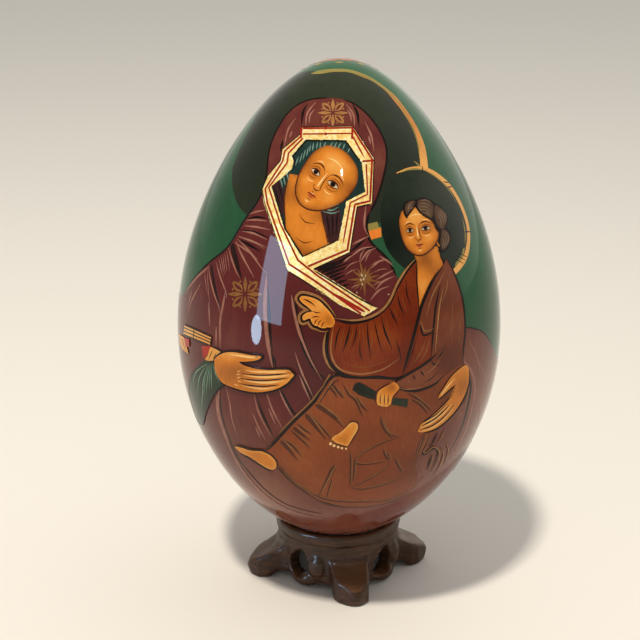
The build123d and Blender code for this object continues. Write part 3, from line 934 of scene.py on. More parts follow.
fill("veil_gold", [leaf_edge(VEIL_OUTER), leaf_edge(VEIL_INNER)], "gold", "gold_leaf", 1.0)
strokes("veil_red_lines", [
    (seen_straight([(-14.4, 62.5), (-20.3, 57.1), (-21.1, 53.2), (-27.5, 43.0), (-26.7, 37.7), (-18.5, 15.0),
                    (-10.1, 9.6), (8.2, -3.3)]), 0.68, 0.0, 0.0),
    (seen_straight([(-13.6, 61.9), (-18.9, 56.3), (-19.5, 52.6), (-26.2, 43.6), (-21.9, 30.1), (-15.3, 16.5),
                    (-8.2, 10.9), (11.4, -2.2)]), 0.62, 0.0, 0.0),
    (seen_straight([(-13.6, 65.5), (4.5, 65.8), (12.0, 54.1), (11.3, 38.6), (5.7, 37.3), (3.0, 20.4),
                    (-11.6, 14.2)]), 0.68, 0.0, 0.0),
    (seen_straight([(-13.7, 63.4), (4.2, 63.7), (9.2, 54.5)]), 0.55, 0.0, 0.1),
    (seen_straight([(9.8, 52.3), (10.4, 41.1), (4.0, 37.9), (1.3, 22.4)]), 0.5, 0.0, 0.1),
    (seen_straight([(-14.1, 65.9), (-14.4, 61.9)]), 0.75, 0.0, 0.0),
    (seen_straight([(4.7, 66.2), (4.5, 61.6)]), 0.7, 0.0, 0.0),
    (seen_straight([(8.4, 53.3), (12.7, 53.7)]), 0.7, 0.0, 0.0),
    (seen_straight([(-3.4, 4.9), (9.7, -2.7)]), 1.0, 0.35, 0.1),
], "gold_line", "red_line")


def dot(picture, radius):
    """A small round outline at a picture point."""
    turns = np.radians(np.arange(0, 360, 30))
    right, up = picture
    return cast(np.stack([right + radius * np.cos(turns), up + radius * np.sin(turns)], 1))


for number, centre in enumerate([(-5.1, 65.7), (-5.2, 63.5)]):
    fill(f"veil_dot_{number + 1}", dot(centre, 0.55), "coat", "red_line", 0.4)

strokes("veil_outlines", [
    (seen_straight([(-14.2, 66.0), (4.8, 66.4), (12.7, 54.5), (12.1, 37.7), (6.5, 36.4), (3.9, 19.5),
                    (-9.5, 13.3)]), 0.3, 0, 0),
    (seen_straight([(-14.5, 63.4), (-21.2, 57.7), (-21.9, 53.4), (-26.7, 47.7), (-28.6, 42.9), (-27.7, 37.7),
                    (-19.8, 14.5)]), 0.3, 0, 0),
    (seen_straight([(-9.7, 12.9), (-3.7, 9.3), (6.0, 3.2), (13.8, -1.0)]), 0.5, 0.1, 0.1),
    (seen_straight([(-19.4, 13.0), (-14.9, 10.1), (-6.7, 4.8), (0.0, 0.0)]), 0.35, 0.3, 0.5),
    (seen_straight([(0.0, 24.3), (-13.4, 17.9), (-19.9, 28.0), (-24.8, 43.5)]), 0.35, 0.1, 0.1),
    (seen_straight([(-17.3, 49.9), (-16.5, 53.3), (-17.4, 55.3), (-12.3, 61.0), (2.2, 60.9), (7.8, 52.7)]),
     0.35, 0.1, 0.1),
], "gold_line", "near_black")

# ---------------------------------------------------------------- rosettes


def rosette(centre, radius, squash=1.0, tone=0.0):
    """An eight-petalled star: four lances, four open loops and a dot between each pair."""
    lines = []
    right, up = centre

    def mark(width, taper, step, *stops):
        """One stroke through stops (share of the radius, degrees)."""
        line = []
        for share, degrees in stops:
            reach, turn = radius * share, math.radians(degrees)
            line.append((right + reach * math.cos(turn), up + squash * reach * math.sin(turn)))
        return seen(line, step), radius * width, taper, taper, tone

    for quarter in range(4):
        angle = 90 * quarter + 90
        leaf = angle + 45
        lines.append(mark(0.24, 0.5, 0.5, (0.12, angle), (0.6, angle), (1, angle)))
        lines.append(mark(0.125, 0.2, 0.5, (0.2, leaf), (0.55, leaf - 16), (0.88, leaf - 4),
                          (0.94, leaf + 2), (0.6, leaf + 17), (0.2, leaf)))
        lines += [mark(0.15, 0.3, 0.3, (0.72, angle + side), (0.82, angle + side)) for side in (-22, 22)]
    return lines


strokes("rosettes", rosette((-2.6, 71.4), 5.5, 0.95, 0.1) + rosette((-34.9, 3.8), 6.5, 1.0, -0.55),
        "robe_light", "rosette_gold")
STAR_CENTRE = (9.3, 9.6)
# each ray: degrees from the right, length
STAR_RAYS = [(15, 5.6), (38, 4.4), (62, 6.2), (84, 4.8), (104, 6.8), (124, 4.6), (144, 6.0), (183, 6.2),
             (206, 4.2), (228, 5.4), (252, 4.4), (272, 6.4), (318, 5.4), (350, 6.4)]
star_rays = [(STAR_CENTRE[0] + reach * math.cos(math.radians(turn)),
              STAR_CENTRE[1] + reach * math.sin(math.radians(turn))) for turn, reach in STAR_RAYS]
strokes("shoulder_star", [(seen([STAR_CENTRE, ray], 0.5), 0.95, 0.1, 0.7, -0.8) for ray in star_rays],
        "robe_light", "rosette_gold")
strokes("star_fan", [
    ([(1.9, 12.9), (4.5, 15.2), (7.5, 16.3)], 0.4), ([(2.2, 11.1), (4.5, 12.6), (6.7, 13.3)], 0.4),
    ([(11.6, 14.4), (13.8, 15.9), (16.4, 16.3)], 0.4), ([(13.0, 12.2), (15.7, 13.3), (17.9, 13.3)], 0.4),
    ([(4.5, 6.2), (6.3, 7.3), (7.5, 7.7)], 0.4), ([(12.3, 7.0), (14.9, 8.5), (17.9, 9.2)], 0.4),
    ([(9.7, 15.9), (10.4, 18.2), (11.9, 20.0)], 0.4), ([(7.5, 15.9), (8.2, 18.9), (9.7, 21.1)], 0.4),
], "robe_light", "rose")
# painted glints: small white marks on and beside the shoulder star, standing for light catching it
strokes("shoulder_painted_glints", [
    ([(8.1, 11.6), (8.7, 10.5)], 0.5), ([(8.9, 10.1), (9.2, 9.1)], 0.55),
    ([(7.8, 9.7), (8.4, 8.8)], 0.45), ([(9.8, 11.2), (9.6, 10.3)], 0.4),
    ([(8.4, 8.1), (8.7, 7.2)], 0.4), ([(6.5, 4.9), (6.7, 4.3)], 0.35),
    ([(19.0, 3.1), (19.6, 2.5)], 0.5), ([(18.1, 4.2), (18.6, 3.8)], 0.35),
], "cap", "eye_white")

# ---------------------------------------------------------------- the faces


class Face:
    """A calm, evenly proportioned painted face, laid out on a plain grid of its own.

    Across runs to the viewer's right and up to the crown, both in face heights, before tilting."""

    def __init__(self, centre, height, tilt, turn=0.0):
        self.centre, self.height, self.tilt, self.turn = centre, height, math.radians(tilt), turn

    def at(self, points):
        out = []
        for across, up in points:
            across = (across + self.turn * (1 - (across / 0.39) ** 2)) * self.height
            up = up * self.height
            out.append((self.centre[0] + across * math.cos(self.tilt) - up * math.sin(self.tilt),
                        self.centre[1] + across * math.sin(self.tilt) + up * math.cos(self.tilt)))
        return out

    def line(self, points):
        return cast(smooth(self.at(points), 0.4))

    def shape(self, points):
        return cast(smooth(self.at(points), 0.6, closed=True))

    def circle(self, centre, radius):
        turns = np.radians(np.arange(0, 360, 24))
        return cast(np.array(self.at([(centre[0] + radius * math.cos(t), centre[1] + radius * math.sin(t))
                                      for t in turns])))


JAW = [(-0.385, 0.10), (-0.375, -0.06), (-0.33, -0.22), (-0.24, -0.37), (-0.12, -0.465), (0, -0.495),
       (0.12, -0.465), (0.24, -0.37), (0.33, -0.22), (0.375, -0.06), (0.385, 0.10)]
BROW_TOP = [(0.36, 0.25), (0.27, 0.39), (0.12, 0.46), (0, 0.475), (-0.12, 0.46), (-0.27, 0.39),
            (-0.36, 0.25)]


# marks: points in the face's grid, the width in fine lines, tapers, tone; the eye's are mirrored
EYE_LINES = [
    ([(0.045, 0.085), (0.10, 0.125), (0.18, 0.13), (0.265, 0.075)], 1.5, 0.3, 0.6),
    ([(0.06, -0.012), (0.11, 0.036), (0.17, 0.044), (0.235, 0.004)], 1.5, 0.3, 0.3),
    ([(0.065, -0.016), (0.12, -0.038), (0.18, -0.036), (0.23, 0.0)], 0.8, 0.3, 0.3),
    ([(0.075, 0.05), (0.13, 0.078), (0.19, 0.074), (0.25, 0.035)], 0.6, 0.4, 0.5),
    ([(0.08, -0.06), (0.14, -0.088), (0.2, -0.078), (0.245, -0.04)], 0.6, 0.5, 0.5),
]
EYE_LIGHTS = [
    ([(0.08, -0.115), (0.15, -0.14), (0.22, -0.12)], 1.2, 0.5, 0.5),
    ([(0.10, 0.165), (0.17, 0.172), (0.24, 0.13)], 1.0, 0.5, 0.5),
]
EYE_WHITE = [(0.07, -0.006), (0.145, 0.004), (0.225, 0.0)]
IRIS = (0.148, 0.006, 0.036)     # across, up, radius
FACE_LINES = [
    ([(0.05, 0.085), (0.034, 0.02), (0.036, -0.10), (0.055, -0.165), (0.045, -0.19)], 1.0, 0.5, 0.3),
    ([(-0.05, -0.178), (-0.025, -0.196), (0, -0.202), (0.03, -0.196), (0.052, -0.175)], 1.0, 0.3, 0.3),
    ([(-0.05, -0.178), (-0.055, -0.155), (-0.042, -0.14)], 0.7, 0.3, 0.5),
    ([(-0.082, -0.296), (-0.03, -0.290), (0, -0.298), (0.03, -0.290), (0.082, -0.296)], 0.9, 0.4, 0.4),
    ([(-0.04, -0.352), (0, -0.36), (0.04, -0.352)], 0.8, 0.5, 0.5),
    ([(-0.012, -0.225), (-0.01, -0.262)], 0.6, 0.4, 0.4),
    (JAW, 1.3, 0.3, 0.3),
]
LIP_LINES = [
    ([(-0.07, -0.291), (-0.03, -0.276), (0, -0.284), (0.03, -0.276), (0.07, -0.291)], 1.5, 0.4, 0.4),
    ([(-0.055, -0.310), (0, -0.324), (0.055, -0.310)], 1.8, 0.4, 0.4, 0.3),
]
FACE_LIGHTS = [
    ([(0, 0.09), (-0.004, 0.0), (-0.004, -0.10), (0, -0.165)], 1.5, 0.5, 0.25, 0.2),
    ([(-0.03, -0.395), (0, -0.402), (0.03, -0.395)], 1.4, 0.5, 0.5),
    ([(-0.14, 0.26), (0, 0.29), (0.14, 0.26)], 1.6, 0.5, 0.5),
    ([(-0.035, -0.262), (0, -0.268), (0.035, -0.262)], 0.7, 0.5, 0.5),
]
# soft shadows and lights: across, up, radius, strength
FACE_SHADES = [(-0.16, -0.02, 0.13, -0.42), (0.17, -0.02, 0.13, -0.42), (0, 0.27, 0.22, 0.42),
               (-0.2, -0.16, 0.1, 0.34), (0.2, -0.16, 0.1, 0.34), (0, -0.08, 0.05, 0.35),
               (0, -0.26, 0.08, -0.15), (0, -0.4, 0.08, 0.3), (0.3, 0.1, 0.12, -0.3)]


def paint_face(name, face, fine):
    """Flesh, features and lights of one face; fine is the width of its thinnest line."""
    size = face.height

    def drawn(marks, side=1):
        """Strokes for the marks; side -1 mirrors them."""
        return [(face.line([(side * across, up) for across, up in points]), fine * width, *rest)
                for points, width, *rest in marks]

    shade = spots(*[(*face.at([(across, up)])[0], radius * size, strength)
                    for across, up, radius, strength in FACE_SHADES])
    fill(f"{name}_face", face.shape(JAW + BROW_TOP), "skin", "flesh", 0.7, tone=shade,
         rim=-0.9, rim_width=0.05 * size)
    sides = (-1, 1)
    whites = [face.line([(side * across, up) for across, up in EYE_WHITE]) for side in sides]
    strokes(f"{name}_eye_whites", [(line, 0.058 * size, 0.45, 0.45) for line in whites],
            "skin_dark", "eye_white")
    strokes(f"{name}_features", drawn(EYE_LINES, -1) + drawn(EYE_LINES) + drawn(FACE_LINES), "skin_light",
            "flesh_line")
    strokes(f"{name}_lips", drawn(LIP_LINES), "skin_dark", "lip_red")
    strokes(f"{name}_lights", drawn(EYE_LIGHTS, -1) + drawn(EYE_LIGHTS) + drawn(FACE_LIGHTS), "skin_dark",
            "flesh_light")
    across, up, radius = IRIS
    for number, side in enumerate(sides):
        fill(f"{name}_iris_{number + 1}", face.circle((side * across, up), radius), "skin_light",
             "near_black", 0.3)


neck = corners([(-18.6, 48.7), (-19.8, 42.8), (-20.7, 36.8), (-19.9, 28.2), (-13.6, 18.0), (-3.5, 22.3),
                (-6.7, 34.2), (-5.2, 40.5), (-10.4, 47.2)])
fill("mother_neck", neck, "cap_light", "flesh", 1.0, rim=-0.5, rim_width=0.9,
     tone=spots((-10.8, 25.6, 4.5, 0.1), (-8.2, 33.1, 3.5, -0.35), (-16.4, 40.5, 4, -0.5),
                (-13.8, 19.6, 4, -0.4)))
paint_face("mother", Face((-4.8, 46.3), 26.5, -36, -0.05), 0.34)
strokes("mother_neck_lines", [
    ([(-6.7, 34.0), (-5.4, 28.2), (-3.4, 22.3)], 0.4, 0.2, 0.2),
    ([(-19.6, 47.2), (-20.5, 39.0), (-19.9, 28.2)], 0.4, 0.2, 0.2),
    ([(-14.9, 33.8), (-12.7, 30.8), (-8.9, 30.1)], 0.35),
    ([(-16.0, 24.9), (-13.0, 23.0), (-9.7, 23.7)], 0.35),
], "skin_dark", "flesh_line")

# ---------------------------------------------------------------- the child

strokes("child_halo_ticks", [
    (seen_straight([(30.7, 51.7), (30.8, 49.3)]), 0.45, 0.2, 0.2),
    (seen_straight([(38.4, 45.9), (40.8, 45.6)]), 0.45, 0.2, 0.2),
    (seen_straight([(39.7, 43.8), (42.1, 44.2)]), 0.45, 0.2, 0.2),
    (seen_straight([(46.1, 27.2), (49.0, 27.5)]), 0.5, 0.2, 0.2),
    (seen_straight([(44.4, 19.4), (47.6, 17.9)]), 0.35), (seen_straight([(43.8, 18.4), (47.0, 16.7)]), 0.35),
    (seen_straight([(43.2, 17.3), (46.1, 15.5)]), 0.35),
], "robe_dark", "near_black")

child_neck = ring([(27.6, 19.6), (28.7, 15.9), (28.3, 9.2), (29.1, 1.8), (29.6, -3.1), (31.3, 1.8),
                   (34.3, 7.7), (37.3, 13.3), (38.4, 15.2), (37.3, 18.5), (36.2, 21.9), (33.5, 20.4),
                   (30.6, 18.9)])
fill("child_neck", child_neck, "cap", "flesh", 1.0, rim=-0.4, rim_width=0.8,
     tone=spots((32.1, 16.7, 3.4, -0.7), (29.8, 7.7, 4.0, 0.15), (35.0, 12.9, 3.0, -0.4)))

CHITON = [(-1.7, -5.7), (3.7, -6.6), (7.8, -6.3), (12.3, -5.0), (15.7, -3.1), (18.6, 0.6), (20.9, 5.5),
          (23.1, 9.6), (25.7, 13.3), (28.3, 16.1), (28.5, 10.7), (29.3, 1.8), (29.8, -5.0), (26.6, -15.4),
          (23.7, -26.2), (19.4, -26.8), (14.5, -26.4), (8.6, -27.1), (3.4, -26.4), (-0.7, -24.2),
          (-3.5, -20.2), (-4.7, -15.0), (-4.5, -10.2), (-3.4, -7.2)]
fill("chiton", corners(CHITON), "coat", "russet", 1.2,
     tone=spots((14.2, -10.5, 7, 0.3), (2.2, -15.0, 5, 0.15), (23.5, -5.0, 7, -0.25),
                (7.5, -23.6, 6, 0.2), (24.2, -18.7, 7, -0.3), (19.4, -13.9, 4, 0.35)))
strokes("chiton_edges", [
    ([(-1.3, -5.9), (3.7, -6.7), (8.2, -6.3), (12.3, -5.0), (16.0, -2.5), (19.0, 1.0), (21.2, 5.9),
      (23.9, 10.7), (26.1, 13.9), (28.7, 16.5)], 0.8, 0.1, 0.1),
    ([(-2.2, -6.8), (-3.9, -10.2), (-4.5, -15.0), (-4.1, -19.1), (-2.6, -22.5), (0.0, -24.9), (3.7, -26.6),
      (8.6, -27.1), (14.2, -26.5), (19.4, -26.8)], 1.2, 0.15, 0.3),
    ([(-1.5, -25.6), (1.9, -27.1), (7.8, -27.5), (14.9, -27.3), (20.5, -27.3), (23.5, -26.7)], 0.9, 0.2,
     0.2),
    ([(2.2, -27.3), (-0.7, -28.7), (-3.4, -30.1), (-5.6, -32.5), (-7.2, -34.8), (-9.9, -36.8)], 0.9, 0.2,
     0.4),
    ([(4.1, -7.2), (3.5, -10.9), (1.5, -17.6)], 0.75), ([(10.3, -5.7), (10.8, -12.4), (11.8, -20.2)], 0.6),
    ([(15.7, -3.8), (17.1, -10.2), (19.8, -16.5)], 0.75), ([(18.6, -0.5), (19.8, -3.8), (21.6, -7.2)], 0.6),
    ([(6.7, -6.8), (6.3, -10.9), (4.8, -16.1)], 0.5), ([(13.0, -5.3), (14.2, -11.3), (16.0, -17.6)], 0.5),
    ([(0.7, -7.6), (-0.7, -11.7), (-1.5, -16.9)], 0.6), ([(21.6, 4.7), (22.4, 0.3), (24.2, -4.2)], 0.55),
    ([(24.6, 10.0), (25.0, 4.7), (26.5, -0.5)], 0.5), ([(20.9, -12.4), (22.4, -16.9), (23.1, -20.6)], 0.5),
    ([(7.8, -13.2), (7.8, -17.6), (8.9, -21.4)], 0.45),
    ([(28.7, 15.2), (28.7, 9.2), (29.3, 1.8), (29.6, -2.3)], 0.5, 0.2, 0.3),
], "coat_dark", "near_black")
strokes("chiton_rim", [
    ([(-1.9, -4.9), (3.7, -5.7), (8.2, -5.4), (12.7, -3.9), (16.4, -1.4), (19.0, 2.2), (21.2, 7.3),
      (23.7, 11.7), (26.1, 14.9), (28.3, 17.2)], 0.8, 0.3, 0.2),
    ([(-4.8, -9.8), (-5.6, -15.0), (-5.2, -19.1), (-3.6, -22.8), (-1.3, -25.1)], 0.75, 0.3, 0.3),
    ([(-2.0, -7.9), (-3.0, -15.8), (-1.9, -21.0), (1.1, -24.2), (7.1, -25.6), (12.7, -25.0), (17.5, -23.2),
      (22.7, -19.5)], 0.55, 0.3, 0.3),
], "coat_light", "tan_line")
strokes("chiton_trims", [(line, width, 0.5, 0.5, -0.75) for line, width in (
    ([(0.9, -21.0), (5.2, -22.8), (10.3, -23.0), (14.5, -21.9), (19.0, -19.9)], 0.55),
    ([(5.4, -7.4), (4.8, -11.7), (3.2, -17.6)], 0.45),
    ([(11.5, -6.1), (12.1, -12.4), (13.2, -19.9)], 0.45),
    ([(17.1, -3.5), (18.4, -9.4), (21.1, -15.4)], 0.45),
    ([(2.2, -7.6), (1.1, -12.4), (0.2, -17.6)], 0.45),
    ([(19.9, -0.1), (21.1, -3.5), (22.9, -6.4)], 0.35),
    ([(14.3, -5.7), (15.7, -11.7), (17.5, -16.9)], 0.35),
    ([(22.9, 4.7), (23.9, 0.6), (25.5, -3.5)], 0.35),
    ([(8.9, -7.2), (9.1, -12.4), (10.1, -17.6)], 0.4),
    ([(16.0, -5.3), (17.9, -10.9), (19.4, -14.3)], 0.3),
    ([(7.6, -7.2), (7.5, -11.7), (6.3, -16.1)], 0.35),
)], "coat_light", "russet_light")

cloak = corners([(38.4, 14.8), (39.5, 17.2), (41.7, 13.7), (44.0, 8.1), (45.7, 2.1), (46.4, -3.8),
                 (46.6, -9.8), (46.0, -16.9), (45.8, -22.1), (42.9, -24.7), (37.3, -27.7), (31.7, -28.8),
                 (27.2, -28.8), (23.5, -26.6), (26.1, -16.9), (29.1, -5.7), (30.9, 1.0), (34.7, 9.4)])
fill("child_cloak", cloak, "coat", "cloak_brown", 1.3,
     tone=spots((42.9, -7.6, 6, 0.25), (37.6, 1.8, 4, -0.3), (43.2, -20.6, 6, -0.35),
                (41.7, 9.2, 4, 0.15)))
panel = corners([(29.3, -6.4), (31.3, -11.3), (35.0, -10.0), (34.2, -19.5), (29.8, -22.7), (23.9, -26.4),
                 (26.2, -16.9)])
fill("child_panel", panel, "coat_dark", "russet", 1.2,
     tone=spots((32.1, -16.9, 4, 0.15), (27.6, -21.4, 4, -0.1)))
strokes("child_cloak_edges", [
    ([(38.2, 14.2), (34.7, 9.4), (30.8, 0.6), (29.1, -5.7), (26.2, -16.9), (23.4, -26.6)], 1.15, 0.2, 0.2),
    ([(37.3, 7.5), (35.8, -0.1), (35.0, -7.9), (34.0, -19.9)], 0.8, 0.3, 0.3),
    ([(30.0, -7.2), (31.2, -11.1), (35.0, -10.0)], 0.7, 0.2, 0.2),
    ([(39.5, 17.2), (41.7, 13.7), (44.0, 8.1), (45.7, 2.1), (46.4, -3.8), (46.6, -9.8), (46.0, -16.9),
      (46.0, -21.7)], 0.8, 0.2, 0.2),
    ([(37.3, 18.5), (38.8, 15.7)], 0.5, 0.2, 0.2),
    ([(29.1, -10.5), (27.2, -17.6), (24.6, -24.7)], 0.4),
], "coat_light", "near_black")
strokes("child_cloak_lights", [
    ([(38.6, 7.3), (37.1, -0.5), (36.4, -7.9), (35.6, -17.6)], 0.5, 0.4, 0.5, 0.2),
    ([(39.5, 13.7), (37.5, 9.6), (34.3, 3.2), (32.3, -4.2)], 0.5, 0.4, 0.5, -0.2),
    ([(40.4, 11.4), (39.5, 5.5), (37.6, 0.3)], 0.4, 0.4, 0.6, -0.3),
    ([(41.9, 1.8), (41.7, -5.0), (41.4, -14.6)], 0.35, 0.5, 0.6, -0.5),
    ([(44.5, -2.0), (44.7, -7.9), (44.4, -15.0)], 0.35, 0.5, 0.6, -0.5),
    ([(30.4, -6.1), (31.7, -9.6), (35.2, -8.5)], 0.4, 0.4, 0.5, -0.1),
    ([(32.1, -12.8), (30.2, -17.6), (26.8, -22.8)], 0.4, 0.4, 0.5, -0.6),
    ([(33.5, -12.0), (32.4, -16.9), (29.8, -21.0)], 0.4, 0.4, 0.5, -0.6),
], "mantle", "tan_line")
arm = ring([(20.7, -28.8), (24.2, -26.5), (29.8, -23.1), (33.9, -20.2), (36.3, -17.8), (39.1, -15.2),
            (41.4, -17.6), (41.9, -21.4), (39.1, -25.6), (35.8, -28.6), (32.4, -30.5), (28.0, -31.7),
            (23.5, -31.1)])
fill("child_arm", arm, "arm", "cloak_brown", 1.0,
     tone=spots((31.3, -25.8, 5, 0.35), (24.2, -29.2, 4, 0.2), (39.5, -20.6, 5, -0.35)))
strokes("child_arm_edges", [
    ([(35.8, -18.2), (33.9, -20.1), (29.8, -23.1), (24.2, -26.4), (20.6, -28.8)], 0.9, 0.2, 0.2),
    ([(20.4, -29.0), (23.1, -31.0), (28.1, -31.8), (32.8, -30.5), (36.2, -28.6), (38.8, -25.8)], 0.95, 0.2,
     0.3),
    ([(33.9, -20.2), (34.8, -21.7), (36.9, -22.3)], 0.6),
    ([(39.1, -15.8), (37.3, -18.6), (35.8, -20.1)], 0.5),
    ([(27.2, -25.8), (28.3, -27.5)], 0.6), ([(30.0, -24.2), (31.5, -26.1)], 0.6),
    ([(36.2, -24.9), (33.9, -27.3), (31.3, -28.8)], 0.4),
], "arm_dark", "near_black")
strokes("child_arm_lights", [
    ([(21.2, -29.8), (23.9, -31.1), (28.1, -30.9), (32.4, -29.5)], 0.4, 0.4, 0.5, -0.2),
    ([(37.6, -19.5), (35.0, -23.1), (31.3, -26.0)], 0.4, 0.4, 0.5, -0.3),
    ([(25.3, -27.5), (26.5, -29.0)], 0.35, 0.4, 0.5, -0.2),
], "arm_light", "tan_line")

hair = join(seen([(24.7, 32.1), (23.7, 34.2), (23.6, 36.6), (24.6, 38.4), (26.5, 39.2), (28.3, 39.0),
                  (30.2, 40.0), (32.8, 39.5), (35.4, 37.8), (37.6, 36.4), (39.5, 34.2), (40.1, 31.6),
                  (39.5, 29.1), (41.1, 26.7), (41.1, 23.5), (39.7, 21.0), (37.6, 19.6), (36.6, 20.2)]),
            seen([(37.4, 21.9), (36.4, 23.7), (36.8, 26.6), (35.6, 28.4), (34.6, 30.7), (33.2, 32.2),
                  (31.1, 33.1), (29.4, 34.7), (27.8, 36.6), (26.7, 35.1), (25.7, 33.6)]))
paint_face("child", Face((30.0, 28.2), 19.5, 8, -0.06), 0.30)
fill("child_ear", ring([(36.4, 25.6), (37.4, 25.2), (37.7, 23.4), (37.0, 21.7), (36.1, 23.0)]), "skin_dark",
     "flesh", 0.5, rim=-0.4)
fill("child_hair", hair, "gold", "near_black", 0.8)
for number, lock in enumerate((
        ring([(28.8, 38.4), (31.2, 39.4), (33.7, 38.5), (34.8, 36.3), (34.4, 32.5), (32.6, 33.0),
              (30.3, 34.6)]),
        ring([(24.4, 37.3), (26.2, 38.7), (28.1, 38.4), (26.7, 35.9), (25.0, 33.5), (24.2, 35.3)]),
        ring([(35.3, 37.0), (37.6, 35.8), (39.4, 33.4), (39.7, 31.0), (38.6, 28.4), (36.6, 29.1),
              (35.3, 32.2)]),
        ring([(37.9, 28.2), (40.1, 27.2), (40.8, 24.6), (40.0, 22.0), (38.2, 20.5), (37.3, 22.6),
              (37.6, 25.4)]),
)):
    fill(f"child_lock_{number + 1}", lock, "gold_line", "hair_brown", 0.7, rim=-0.4, rim_width=0.7)
strokes("child_curls", [(seen(line, 0.5), 0.34, 0.4, 0.5) for line in (
    [(29.4, 37.5), (31.3, 37.8), (33.2, 36.8), (34.3, 34.9)],
    [(29.7, 36.4), (31.5, 36.6), (33.2, 35.5), (34.1, 33.8)],
    [(30.0, 35.3), (31.7, 35.4), (33.1, 34.4), (33.9, 32.9)],
    [(30.8, 34.2), (32.1, 34.3), (33.2, 33.4), (33.9, 32.3)], [(28.9, 37.2), (29.7, 35.7), (30.9, 34.0)],
    [(29.8, 38.7), (31.9, 39.0), (33.9, 37.7)], [(36.2, 35.7), (37.9, 34.2), (39.0, 32.1), (38.9, 30.1)],
    [(36.3, 34.6), (37.6, 33.1), (38.4, 31.2), (38.0, 29.3)],
    [(36.4, 33.2), (37.3, 31.9), (37.6, 30.3), (37.3, 28.6)], [(37.6, 35.8), (39.1, 33.8), (39.7, 31.6)],
    [(39.1, 27.2), (40.4, 25.4), (40.0, 23.0), (38.6, 21.0)],
    [(38.5, 26.5), (39.5, 24.9), (39.1, 22.8), (37.9, 21.1)], [(37.9, 25.4), (38.5, 23.9), (38.2, 21.9)],
    [(27.1, 38.1), (25.7, 37.0), (25.0, 35.1)], [(26.6, 37.2), (25.6, 35.8), (25.3, 34.2)],
    [(27.2, 36.9), (26.3, 35.4)],
)], "coat", "hair_light")
strokes("child_hairline", [
    ([(24.8, 32.1), (25.7, 33.7), (26.8, 35.2), (27.9, 36.7), (29.4, 34.8), (31.2, 33.2), (33.2, 32.2),
      (34.7, 30.7), (35.8, 28.3), (37.0, 26.6), (36.5, 23.7), (37.5, 21.9)], 0.35, 0.2, 0.2),
], "coat_light", "near_black")

# the scroll and the hand on it
fill("scroll_left",
     corners([(5.0, -31.4), (6.0, -29.2), (7.5, -28.6), (9.7, -29.6), (12.7, -31.4), (14.0, -32.2),
              (13.8, -35.1), (11.2, -34.6), (7.5, -33.3)]), "arm_light", "scroll_green", 0.8,
     tone=spots((7.1, -30.3, 2.4, -0.6)))
fill("scroll_right", corners([(19.2, -34.3), (25.7, -34.8), (25.2, -37.9), (18.8, -36.6)]), "arm_light",
     "scroll_green", 0.8, tone=even(0.4))
strokes("scroll_edges", [
    (seen_straight([(5.6, -30.6), (9.3, -32.2), (13.6, -33.8)]), 0.3, 0.0, 0.0),
], "hand", "near_black")

scroll_hand = ring([(20.1, -28.4), (16.4, -30.3), (14.2, -32.2), (13.7, -35.4), (14.3, -36.9), (15.3, -37.2),
                    (16.0, -37.5), (16.8, -37.5), (17.7, -37.7), (18.6, -37.1), (19.3, -36.4), (20.1, -34.0),
                    (21.6, -32.0), (22.4, -30.7)])
fill("scroll_hand", scroll_hand, "hand_dark", "flesh", 0.8, rim=0.3, rim_width=0.5,
     tone=spots((19.4, -30.3, 2.2, -0.6), (16.4, -35.1, 2.2, 0.35)))
strokes("scroll_hand_lines", [
    ([(15.6, -32.9), (15.3, -34.8), (15.4, -36.8)], 0.4),
    ([(16.9, -32.9), (16.8, -35.1), (16.8, -37.2)], 0.4),
    ([(18.3, -32.9), (18.2, -35.1), (18.2, -37.2)], 0.4),
    ([(20.1, -28.4), (16.4, -30.3), (14.2, -32.2), (13.7, -35.4), (14.3, -37.0)], 0.5, 0.2, 0.2),
    ([(22.4, -30.7), (21.6, -32.1), (20.1, -34.0), (19.4, -36.5)], 0.5, 0.2, 0.2),
], "hand_light", "flesh_line")

# the raised hand: two fingers held out, the others folded on the thumb
strokes("blessing_outline", [
    ([(-1.1, -4.4), (-3.9, -0.5), (-7.1, 2.5), (-10.7, 4.1), (-14.2, 4.5), (-16.0, 2.3), (-14.5, -0.1),
      (-12.7, -1.5), (-11.4, -2.2), (-12.8, -2.4), (-14.7, -4.0), (-14.3, -6.7), (-13.0, -7.1),
      (-11.4, -6.4), (-11.2, -7.2), (-9.9, -8.7), (-8.2, -9.2), (-7.1, -9.8), (-5.4, -10.0), (-3.9, -9.7)],
     0.9, 0.2, 0.2),
], "coat_light", "tan_line")
blessing = ring([(-1.5, -6.4), (-2.5, -3.8), (-4.5, -1.4), (-7.5, 1.5), (-10.8, 2.9), (-13.8, 3.2),
                 (-14.6, 2.1), (-13.6, 0.7), (-11.9, -0.5), (-10.6, -1.7), (-9.9, -2.5), (-11.7, -2.9),
                 (-13.5, -4.3), (-13.1, -5.9), (-11.7, -5.3), (-10.6, -5.1), (-10.2, -6.3), (-9.2, -7.6),
                 (-8.0, -7.9), (-6.9, -8.5), (-5.4, -8.7), (-4.2, -8.3), (-2.6, -8.3)])
fill("blessing_hand", blessing, "arm", "flesh", 0.7, rim=0.35, rim_width=0.6,
     tone=spots((-3.4, -5.7, 2.4, -0.5), (-7.5, -0.5, 2.2, 0.25)))
